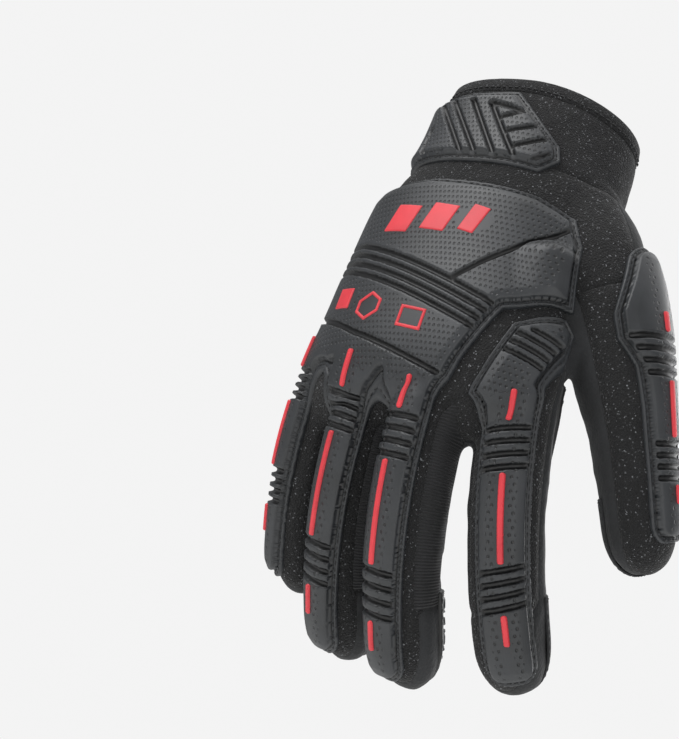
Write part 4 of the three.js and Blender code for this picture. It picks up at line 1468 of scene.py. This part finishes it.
@dataclass
class PullTab:
    """The folded loop of webbing sewn inside the wrist opening."""

    finish: bpy.types.Material
    width: float = 22.5
    reach: float = 15.0
    low: float = -7.0
    middle: float = -4.0
    face: float = 20.6
    thickness: float = 0.8
    fold: float = 0.55
    round_end: float = 0.9
    bow: float = 0.016
    sway: float = 0.35
    sway_length: float = 5.0

    def build(self) -> None:
        """Makes the loop as one band that rises, folds and comes down again."""
        rows, columns = 40, 28
        half = self.reach - self.low - self.round_end
        over = math.pi * self.fold
        run = np.linspace(0, 2 * half + over, rows)
        x = np.linspace(-0.5, 0.5, columns) * self.width + self.middle
        turn = np.clip((run - half) / self.fold, 0, math.pi)
        level = np.where(run < half, run, np.where(run > half + over, 2 * half + over - run, half))
        line = np.stack([self.fold * np.cos(turn), self.low + level + self.fold * np.sin(turn)], axis=1)
        ahead = np.gradient(line, axis=0)
        ahead /= np.linalg.norm(ahead, axis=1, keepdims=True)
        out = np.stack([ahead[:, 1], -ahead[:, 0]], axis=1)
        sway = self.sway * np.sin(x / self.sway_length)
        sheets = []
        for offset in (self.thickness / 2, -self.thickness / 2):
            off, up = np.hsplit(line + out * offset, 2)
            y = self.face + off - self.bow * (x - self.middle) ** 2 + sway * (up / self.reach)
            sheets.append(np.stack([np.broadcast_to(x, y.shape), y, np.broadcast_to(up, y.shape)], axis=2))
        outer, inner = sheets
        rings = np.concatenate([outer, inner[:, ::-1]], axis=1)
        points, faces = tube(rings)
        piece = make_piece("pull_tab_cloth", points, faces, self.finish)
        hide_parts("pull_tab")


def linear(colour: str) -> tuple[float, float, float, float]:
    """An sRGB hex value as linear red, green, blue and alpha."""
    parts = (int(colour[i:i + 2], 16) / 255 for i in (1, 3, 5))
    red, green, blue = (c / 12.92 if c <= 0.04045 else ((c + 0.055) / 1.055) ** 2.4 for c in parts)
    return red, green, blue, 1.0


def per_metre(millimetres: float) -> float:
    """The texture scale that gives one cell in a real size."""
    return 1000.0 / millimetres


def node(tree: Tree, kind: str, settings: Settings | None = None) -> bpy.types.Node:
    """Adds a node with its settings and links.

    Args:
        tree: The material's nodes.
        kind: The node's type, without its ShaderNode prefix.
        settings: Its inputs, by name or number, and its own properties. A socket is linked.

    Returns:
        The node.
    """
    made = tree.nodes.new("ShaderNode" + kind)
    for key, value in (settings or {}).items():
        if not isinstance(key, int) and key not in made.inputs:
            setattr(made, key, value)
        elif isinstance(value, Socket):
            tree.links.new(value, made.inputs[key])
        else:
            made.inputs[key].default_value = value
    return made


def blended(tree: Tree, share: Socket, one: Colour, two: Colour, low: float = 0.0, high: float = 1.0) -> Socket:
    """Blends two colours.

    Args:
        tree: The material's nodes.
        share: What decides between them.
        one: The colour where the share is low.
        two: The colour where it is high.
        low: The share up to which the first colour is pure.
        high: The share from which the second colour is pure.

    Returns:
        The blended colour.
    """
    ramp = node(tree, "MapRange", {"From Min": low, "From Max": high, "Value": share}).outputs[0]
    return node(tree, "Mix", {"data_type": "RGBA", 0: ramp, MIX_ONE: one, MIX_TWO: two}).outputs[MIX_RESULT]


@dataclass(frozen=True)
class Finish:
    """What every finish has: a name, a darker and a lighter tone, its gloss and its sheen."""

    name: str
    dark: str
    light: str
    roughness: float
    ior: float = 1.5
    sheen: float = 0.0
    sheen_roughness: float = 0.5
    mottle: float = 14.0
    smoother: float = 0.06
    rougher: float = 0.07

    def material(self) -> bpy.types.Material:
        """Makes the material: the tones first, then what the kind of surface adds."""
        made = bpy.data.materials.new(self.name)
        made.use_nodes = True
        tree = made.node_tree
        tree.nodes.clear()
        where = node(tree, "TexCoord").outputs["Object"]
        cloud_settings = {"Scale": per_metre(self.mottle), "Detail": 5.0, "Vector": where}
        cloud = node(tree, "TexNoise", cloud_settings).outputs[0]
        tone = blended(tree, cloud, linear(self.dark), linear(self.light), 0.32, 0.68)
        colour, height, depth = self.surface(tree, where, tone)
        bump = node(tree, "Bump", {"Strength": 1.0, "Distance": depth * METRES, "Height": height})
        rough = node(tree, "MapRange", {
            "To Min": self.roughness - self.smoother, "To Max": self.roughness + self.rougher, "Value": cloud,
        })
        shader = node(tree, "BsdfPrincipled", {
            "Base Color": colour, "Roughness": rough.outputs[0], "Normal": bump.outputs[0], "IOR": self.ior,
            "Sheen Weight": self.sheen, "Sheen Roughness": self.sheen_roughness,
        })
        node(tree, "OutputMaterial", {0: shader.outputs[0]})
        return made

    def surface(self, tree: Tree, where: Socket, tone: Socket) -> Look:
        """Makes the surface itself, here a faint moulded grain.

        Args:
            tree: The material's nodes.
            where: The place on the object, in metres.
            tone: The mottled base colour.

        Returns:
            The colour, the height and how deep the height goes in millimetres.
        """
        grain = node(tree, "TexNoise", {"Scale": per_metre(0.7), "Detail": 4.0, "Vector": where})
        return tone, grain.outputs[0], 0.05


@dataclass(frozen=True)
class MouldedRubber(Finish):
    """Thermoplastic rubber, injection moulded in a spark-eroded tool.

    The tool leaves a fine even grain, which gives the charcoal its soft satin. The staggered
    dimples, the channels and the foot inside the flange are darkened in the colour as painted shade.
    """

    across: float = 1.9
    along: float = 2.35
    dimple_width: float = 0.95
    dimple_length: float = 1.3
    spark_grain: float = 0.35
    # Painted shade: first in the dimples, then in the channels and at the foot inside the flange.
    painted_dimple_shade: str = "#0d0e0f"
    painted_groove_and_foot_shade: str = "#050506"

    def dimples(self, tree: Tree, cells: Socket) -> Socket:
        """Makes rows of small ovals, every other row moved by half a step.

        Args:
            tree: The material's nodes.
            cells: Places across and along the pattern in millimetres, and how much it is wanted.

        Returns:
            1 in the dimples, 0 between them.
        """
        u, v, wanted = node(tree, "SeparateXYZ", {0: cells}).outputs
        rows = node(tree, "Math", {"operation": "DIVIDE", 0: v, 1: self.along}).outputs[0]
        row = node(tree, "Math", {"operation": "FLOOR", 0: rows}).outputs[0]
        odd = node(tree, "Math", {"operation": "FLOORED_MODULO", 0: row, 1: 2.0}).outputs[0]
        half = node(tree, "Math", {"operation": "MULTIPLY", 0: odd, 1: 0.5}).outputs[0]
        even_columns = node(tree, "Math", {"operation": "DIVIDE", 0: u, 1: self.across}).outputs[0]
        columns = node(tree, "Math", {"operation": "ADD", 0: even_columns, 1: half}).outputs[0]
        squares = []
        sizes = ((columns, self.across / self.dimple_width), (rows, self.along / self.dimple_length))
        for place, ratio in sizes:
            cell = node(tree, "Math", {"operation": "FRACT", 0: place}).outputs[0]
            middle = node(tree, "Math", {"operation": "SUBTRACT", 0: cell, 1: 0.5}).outputs[0]
            scaled = node(tree, "Math", {"operation": "MULTIPLY", 0: middle, 1: ratio * 2}).outputs[0]
            squares.append(node(tree, "Math", {"operation": "MULTIPLY", 0: scaled, 1: scaled}).outputs[0])
        total = node(tree, "Math", {"operation": "ADD", 0: squares[0], 1: squares[1]}).outputs[0]
        away = node(tree, "Math", {"operation": "SQRT", 0: total}).outputs[0]
        oval = node(tree, "MapRange", {"From Min": 1.1, "From Max": 0.55, "Value": away}).outputs[0]
        return node(tree, "Math", {"operation": "MULTIPLY", 0: oval, 1: wanted}).outputs[0]

    def surface(self, tree: Tree, where: Socket, tone: Socket) -> Look:
        """Adds the dimples and the channels with painted shade, and the spark grain."""
        cells = node(tree, "Attribute", {"attribute_name": "cells"}).outputs["Vector"]
        marks = node(tree, "Attribute", {"attribute_name": "marks"}).outputs["Vector"]
        hollow = self.dimples(tree, cells)
        foot, cut, _ = node(tree, "SeparateXYZ", {0: marks}).outputs
        groove = node(tree, "Math", {"operation": "MAXIMUM", 0: foot, 1: cut}).outputs[0]
        # Painted shade in the dimples, then in the channels and at the foot of the body.
        colour = blended(tree, hollow, tone, linear(self.painted_dimple_shade))
        colour = blended(tree, groove, colour, linear(self.painted_groove_and_foot_shade), 0.05, 0.65)
        grain = node(tree, "TexNoise", {"Scale": per_metre(self.spark_grain), "Detail": 3.0, "Vector": where})
        level = node(tree, "Math", {"operation": "SUBTRACT", 0: 1.0, 1: hollow}).outputs[0]
        height = node(tree, "Math", {"operation": "MULTIPLY_ADD", 0: grain.outputs[0], 1: 0.1, 2: level})
        return colour, height.outputs[0], 0.35


@dataclass(frozen=True)
class LoopedTerry(Finish):
    """Brushed terry knit, faced with short loops.

    The loops scatter light at grazing angles. Light specks among them are painted glints, and
    the gaps between the loops are painted shade.
    """

    loop: float = 0.75
    speck: float = 0.5
    # Painted glints as light specks, and painted shade in the gaps between the loops.
    painted_glint_tone: str = "#7c7e81"
    painted_gap_shade: str = "#060607"

    def surface(self, tree: Tree, where: Socket, tone: Socket) -> Look:
        """Adds the loops with painted shade in their gaps, and the painted glints."""
        loops = node(tree, "TexVoronoi", {"Scale": per_metre(self.loop), "Vector": where}).outputs["Distance"]
        specks = node(tree, "TexVoronoi", {"Scale": per_metre(self.speck), "Vector": where})
        chance = node(tree, "SeparateColor", {0: specks.outputs["Color"]}).outputs[0]
        # Painted glints: a few cells are made light.
        bright = blended(tree, chance, tone, linear(self.painted_glint_tone), 0.94, 0.99)
        # Painted shade: the colour darkens away from the middle of each loop.
        shaded = blended(tree, loops, bright, linear(self.painted_gap_shade), 0.25, 0.75)
        lift = node(tree, "Math", {"operation": "SUBTRACT", 0: 1.0, 1: loops}).outputs[0]
        return shaded, lift, 0.45


@dataclass(frozen=True)
class BrushedLeather(Finish):
    """Synthetic suede leather, brushed on its face.

    The nap gives a matte, slightly uneven grey-black with lighter rubbed places.
    """

    grain: float = 1.3
    nap: float = 0.5
    rubbed: float = 30.0

    def surface(self, tree: Tree, where: Socket, tone: Socket) -> Look:
        """Adds the pebbled grain, the nap and rubbed places."""
        pebbles = node(tree, "TexVoronoi", {"Scale": per_metre(self.grain), "Vector": where})
        nap = node(tree, "TexNoise", {"Scale": per_metre(self.nap), "Detail": 4.0, "Vector": where}).outputs[0]
        rubbed = node(tree, "TexNoise", {"Scale": per_metre(self.rubbed), "Detail": 6.0, "Vector": where})
        colour = blended(tree, rubbed.outputs[0], tone, linear(self.light), 0.55, 1.0)
        colour = blended(tree, nap, colour, linear(self.dark), 0.5, 1.2)
        height = node(tree, "Math", {"operation": "ADD", 0: pebbles.outputs["Distance"], 1: nap})
        return colour, height.outputs[0], 0.16


@dataclass(frozen=True)
class RibbedStretch(Finish):
    """Ribbed stretch knit, its ribs running across the finger.

    Each rib is a round wale about a millimetre wide that holds a line of shade beside it.
    """

    pitch: float = 1.06
    yarn: float = 0.45
    # Painted shade in the troughs between the ribs.
    painted_trough_shade: str = "#050506"

    def surface(self, tree: Tree, where: Socket, tone: Socket) -> Look:
        """Adds the ribs, with painted shade in their troughs, and their stitches."""
        cloth = node(tree, "Attribute", {"attribute_name": "cloth"}).outputs["Vector"]
        along = node(tree, "SeparateXYZ", {0: cloth}).outputs[0]
        turn = node(tree, "Math", {"operation": "MULTIPLY", 0: along, 1: math.tau / self.pitch}).outputs[0]
        rib = node(tree, "Math", {"operation": "SINE", 0: turn}).outputs[0]
        yarn = node(tree, "TexVoronoi", {"Scale": per_metre(self.yarn), "Vector": where}).outputs["Distance"]
        height = node(tree, "Math", {"operation": "MULTIPLY_ADD", 0: yarn, 1: -0.5, 2: rib}).outputs[0]
        # Painted shade: the colour darkens in the troughs between the ribs.
        return blended(tree, rib, linear(self.painted_trough_shade), tone, -1.0, 0.5), height, 0.22


@dataclass(frozen=True)
class PrintedSilicone(Finish):
    """Grip rubber moulded in raised lozenges, with painted light: each of the three faces gets its own tone."""

    # The border's own dark tone, also used as painted shade in the channels between the lozenges.
    border_tone_and_channel_shade: str = "#0c0c0d"
    grain: float = 0.4

    def surface(self, tree: Tree, where: Socket, tone: Socket) -> Look:
        """Paints light on the three lozenges, a tone for each way they face, and paints shade in the channels.
        """
        marks = node(tree, "Attribute", {"attribute_name": "marks"}).outputs["Vector"]
        which, block, _ = node(tree, "SeparateXYZ", {0: marks}).outputs
        # Painted light: each of the three lozenge faces is lighter by its own amount.
        colour = blended(tree, which, tone, linear(self.light), 0.0, 1.6)
        # Painted shade in the channels. The border band takes the same dark tone as its own colour.
        colour = blended(tree, block, linear(self.border_tone_and_channel_shade), colour, 0.0, 0.5)
        grain = node(tree, "TexNoise", {"Scale": per_metre(self.grain), "Detail": 4.0, "Vector": where})
        return colour, grain.outputs[0], 0.14


@dataclass(frozen=True)
class WovenWebbing(Finish):
    """Plain woven polyester: rows of yarn crossing at right angles, with a soft dull face."""

    yarn: float = 0.7

    def surface(self, tree: Tree, where: Socket, tone: Socket) -> Look:
        """Adds the crossing yarns, with painted shade where the weave dips."""
        x, _, z = node(tree, "SeparateXYZ", {0: where}).outputs
        turn = math.tau * per_metre(self.yarn) / 2
        waves_across = []
        for way in (x, z):
            angle = node(tree, "Math", {"operation": "MULTIPLY", 0: way, 1: turn}).outputs[0]
            waves_across.append(node(tree, "Math", {"operation": "SINE", 0: angle}).outputs[0])
        weave = node(tree, "Math", {"operation": "MULTIPLY", 0: waves_across[0], 1: waves_across[1]}).outputs[0]
        # Painted shade: the colour darkens where the weave dips.
        return blended(tree, weave, linear(self.dark), tone, -1.0, 0.4), weave, 0.12


RUBBER = MouldedRubber("satin_moulded_rubber", "#1f2123", "#292b2e", 0.45)
TERRY = LoopedTerry("looped_terry_knit", "#0c0c0d", "#151516", 0.92, sheen=0.04)
SUEDE = BrushedLeather("brushed_synthetic_leather", "#121314", "#202123", 0.86, sheen=0.05)
RIBBED = RibbedStretch("ribbed_stretch_knit", "#121214", "#1c1c1f", 0.85, sheen=0.05)
NEOPRENE = LoopedTerry("loop_faced_neoprene", "#0c0c0d", "#171719", 0.9, sheen=0.03, loop=0.6, speck=0.42)
SILICONE = PrintedSilicone("grip_rubber", "#141516", "#2c2e31", 0.5)
RED = Finish("red_moulded_rubber", "#bb2631", "#d2323c", 0.48)
WEBBING = WovenWebbing("red_woven_webbing", "#a81c2a", "#d8303f", 0.85, sheen=0.2)
THREAD = Finish("waxed_sewing_thread", "#0d0d0e", "#1a1a1c", 0.62, mottle=2.0)
PAPER = Finish("studio_paper", "#ececea", "#f2f2f0", 0.9, mottle=300.0)


@dataclass
class Studio:
    """The pale room, its soft lights and the camera at the photograph's angle."""

    floor_level: float = -0.62
    eye: tuple[float, float, float] = (0.4012, -0.5436, -0.4476)
    ahead: tuple[float, float, float] = (-0.5349, 0.7248, 0.4341)
    up: tuple[float, float, float] = (-0.0804, -0.5552, 0.8279)
    aside: float = 2.67
    lens: float = 96.6
    room_light: float = 0.36

    def camera(self) -> None:
        """Makes the camera, turned aside so that the glove stands right of the middle."""
        ahead = Vector(self.ahead).normalized()
        right = ahead.cross(Vector(self.up)).normalized()
        up = right.cross(ahead)
        basis = Matrix((right, up, -ahead)).transposed()
        turned = Matrix.Rotation(math.radians(self.aside), 3, up) @ basis
        data = bpy.data.cameras.new("camera")
        data.lens, data.sensor_width = self.lens, 36.0
        data.clip_start, data.clip_end = 0.01, 50.0
        camera = bpy.data.objects.new("camera", data)
        camera.matrix_world = Matrix.Translation(self.eye) @ turned.to_4x4()
        bpy.context.scene.collection.objects.link(camera)
        bpy.context.scene.camera = camera

    def light(self, name: str, place: tuple[float, float, float], size: float, power: float) -> None:
        """Adds a soft square light that faces the glove.

        Args:
            name: Its name.
            place: Where it stands, in metres.
            size: Its side in metres.
            power: Its power in watts.
        """
        data = bpy.data.lights.new(name, "AREA")
        data.size, data.energy = size, power
        lamp = bpy.data.objects.new(name, data)
        lamp.location = place
        aim = Vector((0.0, 0.0, -0.12)) - Vector(place)
        lamp.rotation_euler = aim.to_track_quat("-Z", "Y").to_euler()
        bpy.context.scene.collection.objects.link(lamp)

    def floor(self) -> None:
        """Makes the floor, a wide sheet of pale paper."""
        x, y = np.meshgrid(np.linspace(-4, 4, 9), np.linspace(-4, 4, 9))
        corners = np.stack([x.ravel(), y.ravel(), np.full(81, self.floor_level)], axis=1)
        faces = [(i, i + 1, i + 10, i + 9) for i in range(72) if i % 9 != 8]
        mesh = bpy.data.meshes.new("floor")
        mesh.from_pydata(corners.tolist(), [], faces)
        mesh.materials.append(PAPER.material())
        floor = bpy.data.objects.new("floor", mesh)
        bpy.context.scene.collection.objects.link(floor)

    def build(self) -> None:
        """Sets up the room, the lights and the camera."""
        world = bpy.data.worlds.new("studio")
        world.use_nodes = True
        tree = world.node_tree
        tree.nodes.clear()
        seen = node(tree, "Background", {"Color": linear("#f7f7f7"), "Strength": 0.97})
        felt = node(tree, "Background", {"Color": linear("#f4f6fa"), "Strength": self.room_light})
        camera_sees = node(tree, "LightPath").outputs["Is Camera Ray"]
        blend = node(tree, "MixShader", {0: camera_sees, 1: felt.outputs[0], 2: seen.outputs[0]})
        node(tree, "OutputWorld", {0: blend.outputs[0]})
        bpy.context.scene.world = world
        bpy.context.scene.view_settings.view_transform = "Standard"
        self.light("key", (-0.55, -1.1, 0.75), 1.0, 17.0)
        self.light("fill", (1.3, -0.9, -0.2), 1.2, 6.0)
        self.light("behind", (0.3, 1.4, 0.6), 1.2, 17.0)
        sun = bpy.data.lights.new("overhead", "SUN")
        sun.energy, sun.angle = 1.9, 1.4
        overhead = bpy.data.objects.new("overhead", sun)
        bpy.context.scene.collection.objects.link(overhead)
        self.floor()
        self.camera()


def sewn_hem(hand: Hand, stitching: Stitching) -> None:
    """Sews the row of stitches that holds the hem round the wrist opening.

    Args:
        hand: The worn shape.
        stitching: The thread.
    """
    skin = hand.skin
    near = np.abs(hand.below_rim(skin.points) - HEM_WIDTH) < 6
    band = skin.part(near[skin.faces].any(axis=1))
    stitching.sew("stitches_hem", band.contours(hand.below_rim(band.points) - HEM_WIDTH + 1.6))


def main() -> None:
    """Builds the glove over its frame, one sub-assembly after another."""
    logging.basicConfig(level=logging.INFO, format="%(message)s")
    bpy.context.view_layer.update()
    Studio().build()
    hand = Hand()
    stitching = Stitching(THREAD.material())
    rubber, suede, red = RUBBER.material(), SUEDE.material(), RED.material()
    cloths = {
        Cloth.TERRY: TERRY.material(), Cloth.SUEDE: suede,
        Cloth.RIBBED: RIBBED.material(), Cloth.NEOPRENE: NEOPRENE.material(),
    }
    Panels(hand, cloths).build()
    Guards(hand, stitching, rubber=rubber, red=red).build()
    Grips(hand, stitching, silicone=SILICONE.material(), rubber=rubber, suede=suede).build()
    sewn_hem(hand, stitching)
    PullTab(WEBBING.material()).build()


if __name__ == "__main__":
    main()
